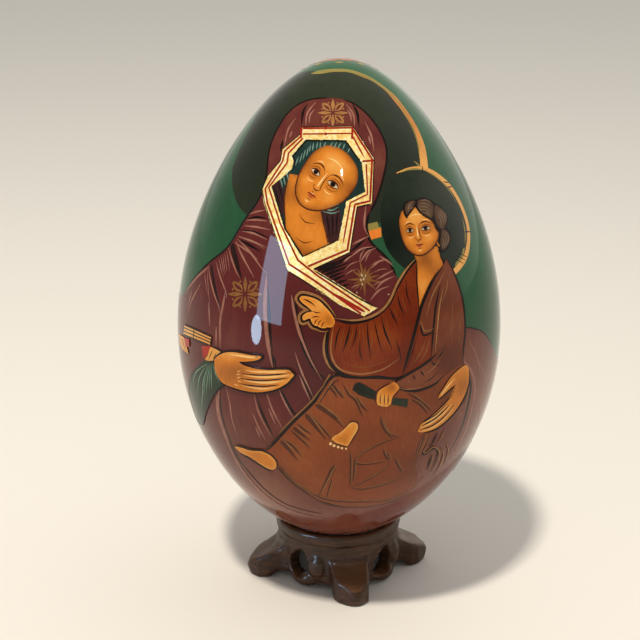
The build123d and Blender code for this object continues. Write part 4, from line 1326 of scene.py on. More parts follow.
strokes("blessing_lines", [
    ([(-1.5, -4.6), (-4.2, -1.1), (-7.3, 1.8), (-10.9, 3.3), (-14.0, 3.7), (-15.1, 2.1), (-13.9, 0.3),
      (-12.2, -0.9), (-10.8, -2.0), (-10.2, -2.6)], 0.6, 0.2, 0.3),
    ([(-9.9, -2.4), (-11.9, -2.6), (-13.9, -4.1), (-13.6, -6.2), (-11.6, -5.8), (-10.8, -5.6), (-10.5, -6.7),
      (-9.4, -8.0), (-8.1, -8.3), (-6.9, -9.0), (-5.4, -9.1), (-3.7, -8.7)], 0.6, 0.3, 0.3),
    ([(-13.2, 2.2), (-10.7, 1.0), (-8.6, -0.7)], 0.45, 0.2, 0.5),
    ([(-9.9, -2.4), (-8.3, -2.9), (-6.9, -2.8)], 0.4),
    ([(-10.3, -4.9), (-8.8, -4.4), (-7.2, -4.5)], 0.4), ([(-9.2, -7.4), (-8.6, -6.0), (-7.7, -5.3)], 0.4),
    ([(-7.8, -7.9), (-7.3, -6.4), (-6.5, -5.7)], 0.4), ([(-6.5, -8.5), (-6.0, -7.0), (-5.2, -6.3)], 0.35),
], "arm_dark", "near_black")

# ---------------------------------------------------------------- the mantle over the knees

mantle = join(seen([(-1.9, -25.5), (1.9, -27.1), (7.8, -27.5), (14.9, -27.5), (20.5, -28.1), (23.9, -30.7),
                    (28.0, -31.8), (32.8, -30.7), (38.4, -26.6), (41.7, -24.3), (45.8, -22.1), (47.0, -26.6),
                    (47.3, -31.8), (45.8, -36.6), (42.9, -40.4), (40.3, -43.0), (37.3, -45.4), (34.3, -48.2),
                    (32.4, -52.7), (29.8, -56.4), (28.3, -59.4), (29.1, -62.0), (29.4, -64.6), (28.0, -67.2),
                    (25.7, -69.4), (20.9, -72.0), (14.9, -74.1), (8.9, -74.8), (3.0, -74.8), (-2.2, -73.9),
                    (-7.5, -72.2), (-11.9, -69.3), (-16.0, -65.9), (-19.8, -62.5), (-23.1, -59.0),
                    (-26.8, -54.2)]),
              seen_straight([(-21.6, -48.8), (-16.8, -43.6), (-12.7, -39.6), (-8.9, -36.1), (-5.6, -31.4),
                             (-3.0, -26.9)]))
fill("mantle", mantle, "mantle", "mantle_brown", 1.6,
     tone=spots((19.4, -43.0, 8, 0.2), (1.9, -37.8, 8, 0.3), (-11.2, -46.7, 8, 0.3),
                (-3.7, -61.6, 10, 0.25), (-14.9, -58.6, 6, 0.25), (39.1, -33.7, 8, -0.4),
                (6.7, -50.4, 20, -0.12), (16.8, -67.2, 10, -0.1), (29.8, -61.6, 7, -0.5)))

# each pleat is a dark stroke with a pale one along its upper side
BROAD_PLEATS = [
    [(-8.7, -37.2), (-6.3, -38.4), (-1.5, -42.1), (1.9, -45.7)],
    [(-12.4, -40.5), (-9.7, -43.7), (-4.8, -49.9)], [(-16.9, -45.6), (-13.6, -48.0), (-10.6, -50.3)],
    [(-21.5, -50.4), (-18.5, -53.6), (-14.9, -57.9)],
    [(-1.3, -59.5), (-3.1, -63.0), (-4.5, -65.8), (-7.3, -70.9)],
]
FINE_PLEATS = [
    [(-7.8, -36.6), (-3.7, -39.6), (1.1, -43.0)], [(-4.1, -29.9), (-1.9, -32.2), (-0.5, -34.4)],
    [(-2.5, -29.2), (-0.7, -31.6), (1.7, -34.8)], [(0.4, -31.8), (1.7, -34.6)],
    [(-11.6, -39.9), (-6.7, -45.2), (-2.2, -50.1)], [(-17.7, -46.5), (-13.8, -50.1), (-10.1, -53.6)],
    [(-20.9, -49.8), (-17.1, -52.3), (-13.6, -56.4)], [(-15.3, -44.1), (-12.7, -46.3), (-9.8, -48.2)],
    [(-2.4, -64.6), (-3.1, -67.6), (-4.4, -71.8)], [(4.3, -54.3), (4.6, -59.7), (4.3, -67.6)],
    [(5.9, -57.1), (6.0, -60.9), (5.4, -65.3)], [(15.3, -40.8), (17.1, -45.5), (19.3, -48.0), (22.5, -49.0)],
    [(15.1, -42.2), (17.3, -46.7), (20.0, -49.5)],
    [(22.5, -49.1), (19.3, -50.0), (13.8, -52.1), (8.8, -55.0), (6.3, -57.7), (7.0, -58.9), (10.0, -59.2),
     (15.0, -58.5), (18.8, -58.0)],
    [(16.5, -53.6), (17.5, -56.1), (18.9, -57.9)], [(18.2, -54.9), (19.0, -57.4)],
    [(18.8, -58.1), (18.1, -59.9), (14.3, -62.7), (9.4, -65.5), (5.0, -67.8)],
    [(5.0, -67.8), (8.1, -68.4), (13.8, -67.4), (18.8, -65.9), (23.1, -64.2)],
    [(20.9, -56.7), (22.2, -59.8), (23.8, -62.1)], [(25.0, -32.5), (29.3, -34.9), (34.3, -39.2)],
    [(26.5, -34.8), (30.2, -37.0), (32.8, -40.4)], [(1.5, -29.3), (3.7, -33.3), (6.3, -35.7), (9.3, -42.4)],
    [(6.2, -34.0), (8.2, -37.0), (10.8, -39.6)],
    [(32.1, -47.2), (30.7, -51.8), (28.8, -56.8), (27.8, -58.8)],
    [(31.5, -47.8), (29.4, -52.7), (28.2, -56.4)],
]
broad = [np.array(line) for line in BROAD_PLEATS]
fine = [np.array(line) for line in FINE_PLEATS]
HEM_LINES = [
    [(-22.2, -59.1), (-18.5, -63.7), (-14.3, -67.6), (-8.8, -70.6), (-3.3, -72.5), (3.4, -73.1),
     (8.9, -73.1), (16.8, -72.6), (22.0, -70.7), (26.1, -68.5)],
    [(-22.8, -60.3), (-16.7, -66.3), (-8.8, -71.7), (-2.7, -74.4), (5.8, -75.0), (13.4, -74.5),
     (19.4, -73.0), (26.5, -69.7)],
]
strokes("mantle_pleats_dark",
        [(seen(line), 1.7, 0.1, 0.8, -0.2) for line in broad]
        + [(seen(line), 0.8, 0.25, 0.4, -0.3) for line in fine]
        + [(seen(line), 0.85, 0.1, 0.3, -0.3) for line in HEM_LINES]
        + [(seen_straight([(-2.6, -26.0), (-5.6, -30.9), (-9.1, -35.9), (-13.0, -39.6), (-16.9, -43.3),
                           (-22.0, -48.8), (-27.2, -54.5)]), 1.1, 0, 0),
           ([(46.1, -22.1), (47.2, -26.6), (47.6, -31.8), (46.1, -36.8)], 0.7, 0.1, 0.1)],
        "mantle_dark", "soft_brown")
strokes("mantle_pleats_pale",
        [(seen(line + np.array([0.75, 0.8])), 0.42, 0.3, 0.6, -0.1) for line in broad]
        + [(seen(line + np.array([0.45, 0.5])), 0.32, 0.4, 0.5, -0.45) for line in fine]
        + [(seen(np.array(line) + np.array([0.2, 0.75])), 0.42, 0.1, 0.4, -0.85) for line in HEM_LINES]
        + [(seen_straight([(-3.2, -25.7), (-6.1, -30.5), (-9.7, -35.4), (-13.6, -39.2), (-17.5, -42.9),
                           (-22.5, -48.3)]), 0.45, 0, 0.2, -0.2),
           (seen_straight([(-1.3, -26.6), (-4.3, -31.6), (-7.8, -36.6)]), 0.4, 0.2, 0.4, -0.3)],
        "mantle_light", "tan_line")
strokes("mantle_border", [
    ([(3.4, -26.1), (0.4, -26.1), (-2.2, -26.7), (-5.4, -29.9), (-8.6, -35.4), (-12.4, -39.4),
      (-16.4, -43.2), (-21.4, -48.7), (-26.1, -54.0)], 0.95, 0.1, 0.1),
    ([(0.4, -27.8), (-1.6, -28.6), (-3.8, -31.2), (-7.1, -36.4)], 0.5, 0.3, 0.4),
], "mantle_light", "near_black")
strokes("hanging_folds_dark", [
    ([(33.7, -47.4), (32.5, -51.2), (30.8, -54.8), (32.1, -55.3), (35.0, -53.2), (36.7, -54.5),
      (36.1, -57.5), (34.0, -61.8)], 0.55),
    ([(34.3, -55.5), (33.9, -57.9), (32.7, -61.2)], 0.5),
    ([(36.7, -47.4), (35.0, -50.8), (33.5, -52.7)], 0.5),
], "mantle_light", "near_black")
strokes("hanging_folds_pale", [
    ([(34.2, -47.6), (32.9, -51.3), (31.5, -54.4), (32.4, -54.6), (35.2, -52.5), (37.3, -54.3),
      (36.7, -57.7), (34.6, -61.9)], 0.45),
    ([(34.9, -55.5), (34.5, -58.0), (33.2, -61.4)], 0.35),
    ([(32.9, -48.2), (31.8, -51.2), (30.2, -54.9)], 0.35),
    ([(39.5, -46.0), (37.6, -49.7), (36.2, -51.9)], 0.35),
    ([(38.0, -52.7), (38.8, -55.6), (37.3, -60.1), (35.0, -63.8)], 0.6),
    ([(39.5, -50.4), (40.6, -54.2), (39.1, -59.4)], 0.4),
], "arm", "tan_line")

# ---------------------------------------------------------------- hands, sleeves and feet

sole = ring([(3.9, -44.1), (5.2, -43.5), (6.7, -43.9), (7.2, -45.2), (6.7, -46.9), (5.4, -48.9),
             (4.2, -51.0), (3.2, -52.3), (1.4, -51.8), (-0.8, -51.2), (-2.5, -50.2), (-1.9, -48.9),
             (0.2, -47.7), (2.2, -46.0)])
fill("child_sole", sole, "arm", "flesh", 0.8, rim=0.55, rim_width=0.7,
     tone=spots((1.5, -49.7, 2.2, -0.2)))
strokes("sole_lines", [
    ([(2.2, -45.7), (3.9, -43.7), (5.4, -43.0), (6.9, -43.5), (7.5, -45.2), (6.9, -47.1), (5.6, -49.3),
      (4.4, -51.3), (3.4, -52.7)], 0.4, 0.2, 0.2),
    ([(-2.6, -49.9), (-0.7, -51.5), (1.5, -52.2), (3.4, -52.7)], 0.35, 0.2, 0.2),
], "arm_dark", "flesh_line")
for number, centre in enumerate([(-2.9, -51.5), (-1.6, -52.2), (-0.1, -52.7), (1.3, -53.1), (2.8, -53.3)]):
    fill(f"toe_{number + 1}", dot(centre, 0.55 - 0.04 * number), "arm", "flesh_light", 0.4, rim=0.2)
foot = ring([(-38.2, -52.8), (-35.8, -53.2), (-32.5, -54.2), (-28.3, -54.5), (-25.3, -55.9), (-23.3, -58.1),
             (-22.9, -60.1), (-24.0, -61.2), (-25.5, -61.0), (-27.7, -59.9), (-32.5, -56.7), (-36.1, -54.9)])
fill("robe_foot", foot, "arm", "flesh", 0.8, rim=0.45, rim_width=0.7,
     tone=spots((-30.6, -56.0, 3, -0.15)))
strokes("foot_lines", [
    ([(-38.5, -52.5), (-35.8, -52.7), (-32.5, -53.7), (-28.3, -54.1), (-25.0, -55.6), (-22.8, -57.9),
      (-22.4, -60.3)], 0.5, 0.2, 0.2),
    ([(-36.3, -55.4), (-32.6, -57.4), (-27.7, -60.5), (-25.5, -61.6), (-23.7, -61.7)], 0.45, 0.2, 0.2),
], "arm_dark", "near_black")

right_hand = ring([(-45.7, -20.4), (-43.6, -18.6), (-41.3, -17.8), (-37.5, -17.9), (-33.7, -18.6),
                   (-30.6, -19.0), (-28.7, -19.2), (-29.1, -20.1), (-31.0, -20.8), (-34.4, -21.2),
                   (-36.7, -21.3), (-35.6, -22.3), (-32.2, -23.5), (-29.1, -24.0), (-25.3, -24.3),
                   (-21.5, -24.1), (-18.4, -24.3), (-17.5, -25.2), (-16.5, -26.1), (-17.7, -27.5),
                   (-19.0, -29.0), (-22.2, -30.9), (-26.1, -32.1), (-30.6, -32.5), (-35.2, -31.9),
                   (-39.8, -30.5), (-43.0, -29.0), (-44.9, -26.2), (-45.8, -23.5)])
fill("mother_right_hand", right_hand, "hand", "flesh", 1.0, rim=0.15, rim_width=0.6,
     tone=spots((-41.7, -25.1, 5.5, -0.5), (-36.2, -24.0, 3, -0.35), (-33.5, -31.0, 6, -0.3),
                (-40.3, -19.1, 3.2, 0.4), (-20.5, -25.8, 4, 0.15)))
strokes("right_hand_lights", [
    ([(-34.7, -24.3), (-30.6, -24.9), (-25.0, -25.0), (-19.0, -24.9)], 0.75, 0.5, 0.3, -0.2),
    ([(-35.0, -26.3), (-29.1, -26.9), (-23.5, -26.7), (-18.3, -26.2)], 0.75, 0.5, 0.3, -0.2),
    ([(-35.0, -28.2), (-30.6, -28.8), (-25.7, -28.9), (-20.1, -28.3)], 0.75, 0.5, 0.3, -0.2),
    ([(-35.8, -30.1), (-31.3, -30.9), (-27.2, -31.2), (-23.1, -30.5)], 0.6, 0.5, 0.3, -0.3),
    ([(-40.3, -18.6), (-36.2, -19.1), (-32.1, -19.6), (-29.4, -19.6)], 0.8, 0.4, 0.3, -0.1),
    ([(-37.6, -25.1), (-36.3, -24.5)], 0.3), ([(-37.8, -26.1), (-36.2, -25.7)], 0.3),
    ([(-37.6, -27.1), (-36.2, -27.1)], 0.3),
    ([(-37.4, -28.3), (-36.0, -28.7)], 0.3), ([(-38.6, -29.6), (-37.0, -30.1)], 0.3),
], "hand_dark", "flesh_light")
strokes("right_hand_lines", [
    ([(-36.0, -25.5), (-31.0, -26.1), (-25.3, -26.1), (-18.9, -25.5)], 0.45, 0.3, 0.2),
    ([(-36.4, -27.4), (-29.8, -28.1), (-24.6, -27.9), (-18.1, -27.1)], 0.45, 0.3, 0.2),
    ([(-36.7, -29.3), (-32.4, -30.0), (-27.6, -30.3), (-21.9, -29.7)], 0.45, 0.3, 0.2),
    ([(-45.8, -23.2), (-46.0, -20.2), (-43.8, -18.2), (-41.3, -17.4), (-37.5, -17.4), (-33.7, -18.2),
      (-30.6, -18.5), (-28.0, -19.0), (-28.7, -20.4), (-31.0, -21.2), (-34.4, -21.6), (-36.3, -21.6)], 0.6,
     0.2, 0.2),
    ([(-36.7, -21.3), (-35.6, -22.2), (-32.2, -23.2), (-29.1, -23.7), (-25.3, -23.9), (-21.5, -23.7),
      (-18.1, -23.9), (-17.1, -24.9), (-16.0, -26.1), (-17.3, -27.8), (-18.8, -29.5), (-22.1, -31.3),
      (-26.1, -32.5), (-30.6, -32.9), (-35.2, -32.3), (-39.9, -31.0), (-43.4, -29.3)], 0.6, 0.2, 0.2),
    ([(-19.4, -24.9), (-18.1, -25.2), (-17.7, -26.0)], 0.25), ([(-31.1, -19.7), (-29.6, -19.3)], 0.25),
], "hand_light", "near_black")

left_hand = ring([(47.0, -22.1), (47.9, -24.3), (47.9, -27.3), (47.2, -31.0), (45.3, -35.4), (42.3, -39.8),
                  (38.5, -43.6), (35.2, -45.8), (31.3, -47.0), (29.3, -46.8), (29.6, -45.8), (30.6, -43.9),
                  (32.9, -42.2), (36.6, -39.0), (39.7, -35.8), (41.2, -33.5), (42.6, -29.7), (40.8, -31.0),
                  (37.2, -34.3), (36.8, -33.7), (39.0, -30.2), (41.4, -26.5), (44.1, -23.7)])
fill("mother_left_hand", left_hand, "hand", "flesh", 1.0, rim=0.15, rim_width=0.6,
     tone=spots((45.1, -29.6, 4, -0.45), (41.7, -36.3, 4, -0.1), (45.5, -23.6, 3, 0.1)))
strokes("left_hand_lights", [
    ([(30.3, -45.5), (33.9, -43.6), (38.4, -40.2), (41.7, -36.4)], 0.75, 0.3, 0.5, -0.1),
    ([(31.3, -43.9), (35.8, -40.8), (39.9, -37.0)], 0.65, 0.3, 0.5, -0.1),
    ([(30.4, -46.6), (34.7, -45.2), (39.1, -41.8), (43.1, -36.6)], 0.6, 0.3, 0.5, -0.15),
    ([(37.6, -33.5), (39.9, -30.3), (42.9, -26.9)], 0.7, 0.3, 0.5, -0.2),
], "hand_dark", "flesh_light")
strokes("left_hand_lines", [
    ([(29.8, -46.2), (34.3, -44.6), (38.8, -41.3), (42.7, -36.6)], 0.55, 0.2, 0.3),
    ([(30.6, -44.7), (35.9, -41.7), (40.8, -37.0)], 0.55, 0.2, 0.3),
    ([(31.5, -43.2), (36.2, -40.1), (40.1, -36.0)], 0.5, 0.3, 0.4),
    ([(46.0, -22.3), (43.8, -23.9), (41.2, -26.5), (38.8, -30.2), (36.6, -33.7)], 0.28, 0.2, 0.2),
    ([(36.7, -34.3), (37.4, -34.6), (40.8, -31.6), (43.1, -29.2)], 0.4, 0.2, 0.2),
    ([(42.9, -29.9), (41.7, -33.3), (39.6, -35.8), (36.5, -39.0), (32.8, -42.1), (30.4, -43.6)], 0.28, 0.2,
     0.2),
    ([(48.1, -24.2), (48.2, -27.3), (47.5, -31.2), (45.7, -35.6), (42.6, -40.1), (38.8, -43.9),
      (35.3, -46.3), (31.3, -47.4)], 0.65, 0.2, 0.2),
], "hand_light", "near_black")

sleeve = ring([(-46.4, -21.0), (-45.5, -24.0), (-44.2, -27.2), (-42.3, -29.6), (-45.1, -31.8),
               (-47.5, -35.5), (-49.3, -40.0), (-50.5, -44.7), (-52.6, -42.2), (-54.4, -36.5),
               (-55.3, -31.8), (-54.9, -27.3), (-52.8, -23.6), (-49.7, -21.1)])
fill("green_sleeve", sleeve, "coat_light", "sleeve_green", 1.0, rim=-0.2, tone=even(-0.3))
strokes("sleeve_fan", [
    ([(-46.7, -22.0), (-45.6, -25.8), (-44.1, -29.2)], 0.5),
    ([(-47.2, -22.3), (-47.2, -26.9), (-47.0, -31.4)], 0.5),
    ([(-47.7, -22.3), (-48.6, -27.7), (-49.0, -33.3)], 0.5),
    ([(-48.2, -22.3), (-50.1, -28.4), (-50.5, -36.3)], 0.5),
    ([(-48.7, -22.3), (-51.6, -27.3), (-52.3, -34.4)], 0.5),
    ([(-49.0, -22.1), (-53.1, -25.8), (-53.9, -31.4)], 0.5),
    ([(-46.2, -22.8), (-44.7, -26.1), (-43.1, -28.8)], 0.35),
    ([(-49.4, -29.9), (-50.5, -34.8), (-50.9, -40.4)], 0.35),
    ([(-47.5, -22.8), (-47.9, -28.1), (-47.9, -32.2)], 0.3),
    ([(-48.1, -22.8), (-49.6, -28.8), (-49.8, -34.8)], 0.3),
], "mantle", "pale_green")
strokes("sleeve_edge", [
    ([(-46.2, -21.0), (-45.3, -24.0), (-44.1, -27.2), (-42.2, -29.7), (-44.9, -31.9), (-47.3, -35.7),
      (-49.2, -40.1), (-50.5, -44.8), (-52.7, -42.4), (-54.6, -36.5), (-55.5, -31.8), (-55.0, -27.3),
      (-52.9, -23.6)], 0.6, 0.1, 0.1),
], "mantle_dark", "near_black")
fill("sleeve_cuff", corners([(-57.2, -7.6), (-47.2, -12.2), (-47.7, -15.2), (-57.5, -11.1)]), "mantle",
     "cuff_gold", 0.9, tone=spots((-56.7, -9.8, 3, 0.4)))
fill("red_cuff", corners([(-50.7, -15.5), (-47.3, -15.4), (-48.1, -18.2), (-50.2, -20.3)]), "mantle",
     "cap_red", 0.8)
fill("wrist_cuff",
     ring([(-47.5, -16.0), (-45.5, -16.7), (-43.5, -18.2), (-45.1, -20.6), (-48.1, -21.0), (-49.6, -20.4),
           (-48.5, -19.0)]),
     "mantle_dark", "cuff_gold", 0.7)
fill("cuff_fringe",
     corners([(-59.3, -11.1), (-57.0, -12.6), (-56.3, -16.1), (-55.7, -18.5), (-58.0, -16.7),
              (-59.0, -14.3)]), "mantle",
     "cuff_gold", 0.8)
fill("fringe_red", corners([(-57.4, -12.4), (-55.5, -13.0), (-55.3, -15.8), (-56.7, -15.9)]), "mantle_dark",
     "cap_red", 0.6)
strokes("cuff_lines", [
    (seen_straight([(-57.2, -8.8), (-47.3, -13.2)]), 0.35, 0.0, 0.0),
    (seen_straight([(-57.4, -10.0), (-47.5, -14.2)]), 0.35, 0.0, 0.0),
    (seen_straight([(-53.6, -9.6), (-53.9, -12.6)]), 0.5, 0.0, 0.0),
    (seen_straight([(-57.4, -7.6), (-47.1, -12.1), (-47.6, -15.3), (-57.5, -11.3)]), 0.45, 0.0, 0.0),
    ([(-47.3, -15.8), (-45.5, -16.4), (-43.2, -18.0), (-44.9, -20.8), (-48.1, -21.2)], 0.45, 0.1, 0.1),
    ([(-46.6, -17.0), (-47.6, -19.0), (-48.2, -20.8)], 0.35), ([(-45.2, -17.8), (-46.6, -20.5)], 0.35),
    ([(-58.0, -12.6), (-57.4, -15.4), (-56.4, -17.6)], 0.3),
], "mantle_light", "near_black")

# ---------------------------------------------------------------- the cap over the pole, and the back


def over_pole(behind, radius, scallops=0, depth=0.0, start=0, end=360):
    """A round or scalloped outline over the top, its centre that far behind the pole."""
    turns = np.radians(np.arange(start, end, 3))
    reach = radius + depth * np.abs(np.sin(scallops * turns / 2))
    flat = np.stack([reach * np.sin(turns), behind - reach * np.cos(turns)], 1)
    return Chart(np.zeros((1, 2)), plan=True).places(flat)


CAP_BEHIND = 9.6         # the cap's centre, behind the pole
strokes("pole_drops", [(over_pole(CAP_BEHIND, 15.2, start=turn, end=turn + 13), 1.5, 0.5, 0.5)
                       for turn in range(-7, 353, 30)], "halo_rim", "olive_gold", plan=True)
fill("pole_cap", over_pole(CAP_BEHIND, 11.5, 16, 1.0), "halo", "brick", 1.2, plan=True,
     tone=spots((0, 92, 12, 0.2)))
strokes("pole_cap_gold", [
    (over_pole(CAP_BEHIND, 11.9, 16, 1.0), 0.8, 0.0, 0.0), (over_pole(CAP_BEHIND, 9.4), 0.5, 0.0, 0.0),
    (over_pole(CAP_BEHIND, 3.2), 0.5, 0.0, 0.0),
], "halo_rim", "rosette_gold", plan=True)

# the border shows from the right side round the back to the left side
border_right = [(degrees, height) for degrees, height in BACK_BORDER if degrees >= 62]
border_left = [(degrees + 360, height) for degrees, height in BACK_BORDER if -180 < degrees <= -88]
border_line = around(border_right + border_left)
strokes("back_border", [(border_line, 1.6, 0.05, 0.05)], "halo", "rosette_gold")

# ---------------------------------------------------------------- the stand

FOOT_TURN = 10.0         # degrees round from the front to the nearest foot
SEAT_GAP = 0.35          # what is left between the ring and the egg
CELL = 0.5               # the spacing of the grid that the carving is meshed on


def smooth_min(a, b, blend):
    share = np.clip(0.5 + 0.5 * (b - a) / blend, 0, 1)
    return b * (1 - share) + a * share - blend * share * (1 - share)


def smooth_max(a, b, blend):
    return -smooth_min(-a, -b, blend)


def rounded_box(across, up, half_width, half_height, radius):
    right, top = np.abs(across) - half_width + radius, np.abs(up) - half_height + radius
    return np.hypot(np.maximum(right, 0), np.maximum(top, 0)) + np.minimum(np.maximum(right, top),
                                                                           0) - radius


def outline_distance(x, y, corner_points):
    """Distance from flat points to a closed polygon, negative inside."""
    nearest = np.full(np.broadcast(x, y).shape, 1e9)
    inside = np.zeros(nearest.shape, bool)
    for (ax, ay), (bx, by) in zip(corner_points, corner_points[1:] + corner_points[:1]):
        ex, ey = bx - ax, by - ay
        share = np.clip(((x - ax) * ex + (y - ay) * ey) / (ex * ex + ey * ey), 0, 1)
        nearest = np.minimum(nearest, (x - ax - ex * share) ** 2 + (y - ay - ey * share) ** 2)
        if ay != by:
            inside ^= ((ay > y) != (by > y)) & (x < ex * (y - ay) / ey + ax)
    return np.where(inside, -1, 1) * np.sqrt(nearest)


FOOT_PROFILE = [(18, 14.8), (23.2, 12.2), (27.4, 9.8), (32.0, 7.8), (34.9, 5.8), (36.2, 3.2),
                (35.2, 0.4), (33.8, -1), (27.6, -1), (24.8, 2.4), (18, 2.6)]
FOOT_PLAN = [(15, -7.6), (23, -7.2), (28.4, -6.6), (31.2, -5.4), (36.8, 1.0), (32.4, 6.0), (28.2, 7.0),
             (23, 7.4), (15, 7.6)]
WINDOW = [(-4.6, 6.4), (-3.4, 4.2), (-0.6, 3.4), (2.6, 4.0), (4.6, 6.4), (4.9, 9.4), (4.0, 12.4),
          (2.2, 15.2),
          (-0.6, 13.8), (-3.2, 11.2), (-4.6, 8.6)]
# degrees on from each foot
WINDOW_TURN = 38.0
LOBE_TURN = 44.0
KNOB_TURN = 59.5
ARCH_TURNS = (22.0, 66.0)
# middle radius, middle height, half width, half height, rounding
COLLAR = (20.9, 20.9, 3.3, 2.15, 0.9)
DRUM = (20.2, 10.6, 3.0, 8.6, 1.2)
DRUM_FLARE = 0.035       # how much the drum widens for each millimetre up
# distance from the axis, height, how much flatter sideways and upwards, size
LOBE = (21.6, 3.4, 0.62, 0.95, 3.1)
KNOB = (22.4, 9.4, 0.74, 0.54, 2.7)
ARCH_SIZE = 3.4
WINDOW_DEPTH = 14        # the distance from the axis that a window is cut in to


def stand_distance(x, y, z):
    """Rough distance to the carved stand: a ring on a drum, four feet, four lobes and windows."""
    across = np.hypot(x, y)
    turn = np.degrees(np.arctan2(x, -y)) - FOOT_TURN
    body = rounded_box(across - COLLAR[0], z - COLLAR[1], *COLLAR[2:])
    drum = rounded_box(across - (DRUM[0] + DRUM_FLARE * (z - 10)), z - DRUM[1], *DRUM[2:])
    body = smooth_min(body, drum, 0.7)

    def local(degrees):
        """Radial and sideways distances in the quarter, turned to look along one direction."""
        angle = np.radians((turn - degrees + 45) % 90 - 45)
        return across * np.cos(angle), across * np.sin(angle)

    def pebble(degrees, distance, height, sideways, upwards, size):
        """Rough distance to a rounded lump on the drum."""
        out, side = local(degrees)
        side, rise = side * sideways, (z - height) * upwards
        return np.sqrt((out - distance) ** 2 + side**2 + rise**2) - size

    out, side = local(0)
    foot = smooth_max(outline_distance(out, z, FOOT_PROFILE), outline_distance(out, side, FOOT_PLAN), 1.1)
    body = smooth_min(body, foot, 2.4)
    body = smooth_min(body, pebble(LOBE_TURN, *LOBE), 1.6)
    body = smooth_min(body, pebble(KNOB_TURN, *KNOB), 0.6)
    for arch_turn in ARCH_TURNS:
        side = local(arch_turn)[1]
        body = smooth_max(body, ARCH_SIZE - np.hypot(side * 0.8, z + 1.0), 1.2)
    out, side = local(WINDOW_TURN)
    window = smooth_max(outline_distance(side, z, WINDOW), WINDOW_DEPTH - out, 0.5)
    body = smooth_max(body, -window, 1.3)
    body = smooth_max(body, BORE_RADIUS - across, 0.6)
    below = LATITUDES < 0
    tilt = np.interp(across, RADII[below], -meridian(LATITUDES[below])[3])
    egg_under = np.interp(across, RADII[below], HEIGHTS[below])
    body = smooth_max(body, SEAT_GAP - (egg_under - z) * tilt, 0.35)
    ripple = 0.03 * np.sin(z * 2.6 + np.sin(np.radians(turn) * 2)) + 0.05 * np.sin(turn * 0.42 + z * 0.8)
    return smooth_max(body + ripple, -z, 0.4)


def mesh_of(distance, low, high, cell):
    """A closed mesh of the zero surface of a distance function, one vertex for each crossed cell."""
    axes = [np.arange(a, b + cell, cell) for a, b in zip(low, high)]
    value = distance(*np.meshgrid(*axes, indexing="ij", sparse=True))
    solid = value < 0
    shape = tuple(n - 1 for n in value.shape)
    total, count = np.zeros(shape + (3,)), np.zeros(shape)
    for axis in range(3):
        others = [a for a in range(3) if a != axis]
        for one in (0, 1):
            for two in (0, 1):
                start = [slice(0, -1)] * 3
                start[others[0]] = slice(one, one + shape[others[0]])
                start[others[1]] = slice(two, two + shape[others[1]])
                end = list(start)
                end[axis] = slice(1, None)
                near, far = value[tuple(start)], value[tuple(end)]
                crossed = (near < 0) != (far < 0)
                share = np.where(crossed, near / np.where(crossed, near - far, 1), 0)
                count += crossed
                total[..., axis] += share * crossed
                total[..., others[0]] += one * crossed
                total[..., others[1]] += two * crossed
    crossed = count > 0
    index = np.full(shape, -1)
    index[crossed] = np.arange(crossed.sum())
    cells = np.argwhere(crossed)
    points = (cells + total[crossed] / count[crossed][:, None]) * cell + np.array([a[0] for a in axes])
    faces = []
    for axis in range(3):
        one, two = (axis + 1) % 3, (axis + 2) % 3
        near, far = [slice(None)] * 3, [slice(None)] * 3
        near[axis], far[axis] = slice(0, -1), slice(1, None)
        for forwards in (True, False):
            here, there = (near, far) if forwards else (far, near)
            change = solid[tuple(here)] & ~solid[tuple(there)]
            at = np.argwhere(change)
            kept = (at[:, one] > 0) & (at[:, two] > 0) & (at[:, one] < shape[one]) & (at[:,
                                                                                         two] < shape[two])
            at = at[kept]
            quad = []
            for back_one, back_two in ((1, 1), (0, 1), (0, 0), (1, 0)):
                where = at.copy()
                where[:, one] -= back_one
                where[:, two] -= back_two
                quad.append(index[tuple(where.T)])
            quad = np.stack(quad, 1)
            faces += (quad if forwards else quad[:, ::-1]).tolist()
    return points, faces


stand_points, stand_faces = mesh_of(stand_distance, (-38, -38, -1.25), (38, 38, 25), CELL)
stand = make_object("stand_carving", stand_points, stand_faces, None, "stand_wood", "stand")
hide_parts("stand")
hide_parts("gold_leaf")

# ---------------------------------------------------------------- the pieces under the paint

for node, paint in (("egg_lower_cup", "turned_wood"), ("egg_upper_cup", "turned_wood"),
                    ("ground_coat", "chalk"), ("paint_film", "green")):
    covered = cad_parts[node]
    covered.data.materials.clear()
    covered.data.materials.append(PAINTS[paint])

# ---------------------------------------------------------------- floor, light and camera

floor_mesh = bpy.data.meshes.new("floor")
FLOOR_REACH = 7.0
FLOOR_TOP = -0.0003      # a hair under the feet
floor_mesh.from_pydata([(x * FLOOR_REACH, y * FLOOR_REACH, FLOOR_TOP)
                        for x, y in ((-1, -1), (1, -1), (1, 1), (-1, 1))], [], [(0, 1, 2, 3)])
floor = bpy.data.objects.new("floor", floor_mesh)
bpy.context.collection.objects.link(floor)
paper = Nodes("floor_paper", "egg_wood")
paper.set(Base_Color=(0.86, 0.845, 0.81, 1), Roughness=0.8, Specular_IOR_Level=0.1)
floor_mesh.materials.append(paper.material)

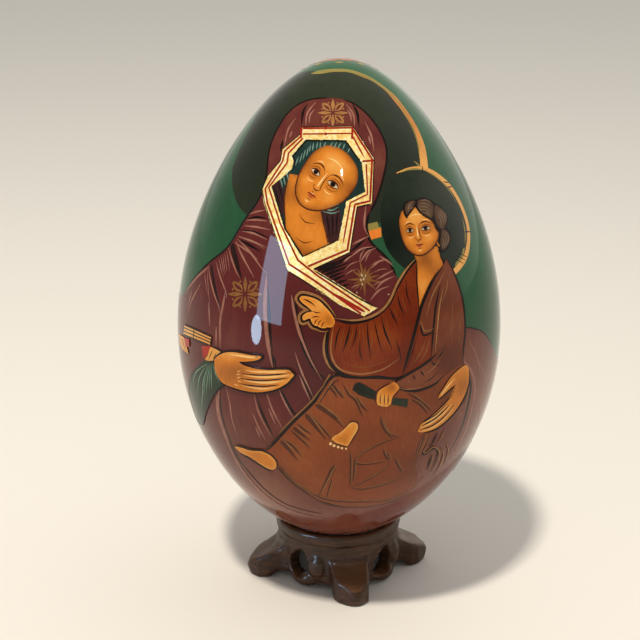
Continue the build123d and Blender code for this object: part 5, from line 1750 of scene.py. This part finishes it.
world = bpy.data.worlds.new("studio")
world.use_nodes = True
sky = world.node_tree
background = sky.nodes["Background"]
background.inputs["Color"].default_value = (1.0, 0.96, 0.89, 1)
direction = sky.nodes.new("ShaderNodeTexCoord")
facing = sky.nodes.new("ShaderNodeVectorMath")
facing.operation = "DOT_PRODUCT"
facing.inputs[1].default_value = (0.5, 0.85, 0.1)
glow = sky.nodes.new("ShaderNodeMapRange")       # dim at the front left, bright at the back right
glow.interpolation_type = "SMOOTHSTEP"
for socket, value in (("From Min", -0.2), ("From Max", 1.0), ("To Min", 0.34), ("To Max", 1.0)):
    glow.inputs[socket].default_value = value
sky.links.new(direction.outputs["Generated"], facing.inputs[0])
sky.links.new(facing.outputs["Value"], glow.inputs["Value"])
sky.links.new(glow.outputs["Result"], background.inputs["Strength"])
bpy.context.scene.world = world

MIDDLE = (0.0, 0.0, 0.11)


def area_light(name, turn, height, distance, width, tall, radiance, tint, shape="RECTANGLE"):
    """A flat lamp aimed at the egg, placed by its bearing from the front and its elevation."""
    lamp = bpy.data.lights.new(name, "AREA")
    lamp.shape = shape
    lamp.size, lamp.size_y, lamp.color = width, tall, tint
    lamp.energy = radiance * math.pi * width * tall
    holder = bpy.data.objects.new(name, lamp)
    turn, height = math.radians(turn), math.radians(height)
    place = Vector((distance * math.sin(turn) * math.cos(height),
                    -distance * math.cos(turn) * math.cos(height),
                    MIDDLE[2] + distance * math.sin(height)))
    holder.location = place
    holder.rotation_euler = (Vector(MIDDLE) - place).to_track_quat("-Z", "Y").to_euler()
    bpy.context.collection.objects.link(holder)
    return holder


WARM = (1.0, 0.9, 0.76)
area_light("lamp", -25, 65.5, 1.5, 0.11, 0.11, 460, WARM).visible_glossy = False
for glint in (area_light("lamp_glint", 2.6, 52, 1.5, 0.04, 0.06, 300, (1.0, 0.97, 0.92)),
              area_light("window", -48, 13, 1.2, 0.40, 0.56, 13, (0.5, 0.72, 1.0)),
              area_light("curtain_gap", -54.7, -3.3, 0.5, 0.066, 0.088, 27, (0.55, 0.76, 1.0), "ELLIPSE")):
    glint.visible_diffuse = False           # these only show as reflections in the gloss

camera_data = bpy.data.cameras.new("camera")
camera_data.lens = 78.9          # millimetres, as is the sensor
camera_data.sensor_width = 36
camera = bpy.data.objects.new("camera", camera_data)
camera.location = EYE * MM
AIM_SIDE = -7.1          # the egg stands a little right of the middle of the view
aim = Vector((AIM_SIDE * MM, 0, AIM_HEIGHT * MM))
camera.rotation_euler = (aim - camera.location).to_track_quat("-Z", "Y").to_euler()
bpy.context.collection.objects.link(camera)
bpy.context.scene.camera = camera
bpy.context.scene.view_settings.view_transform = "Standard"
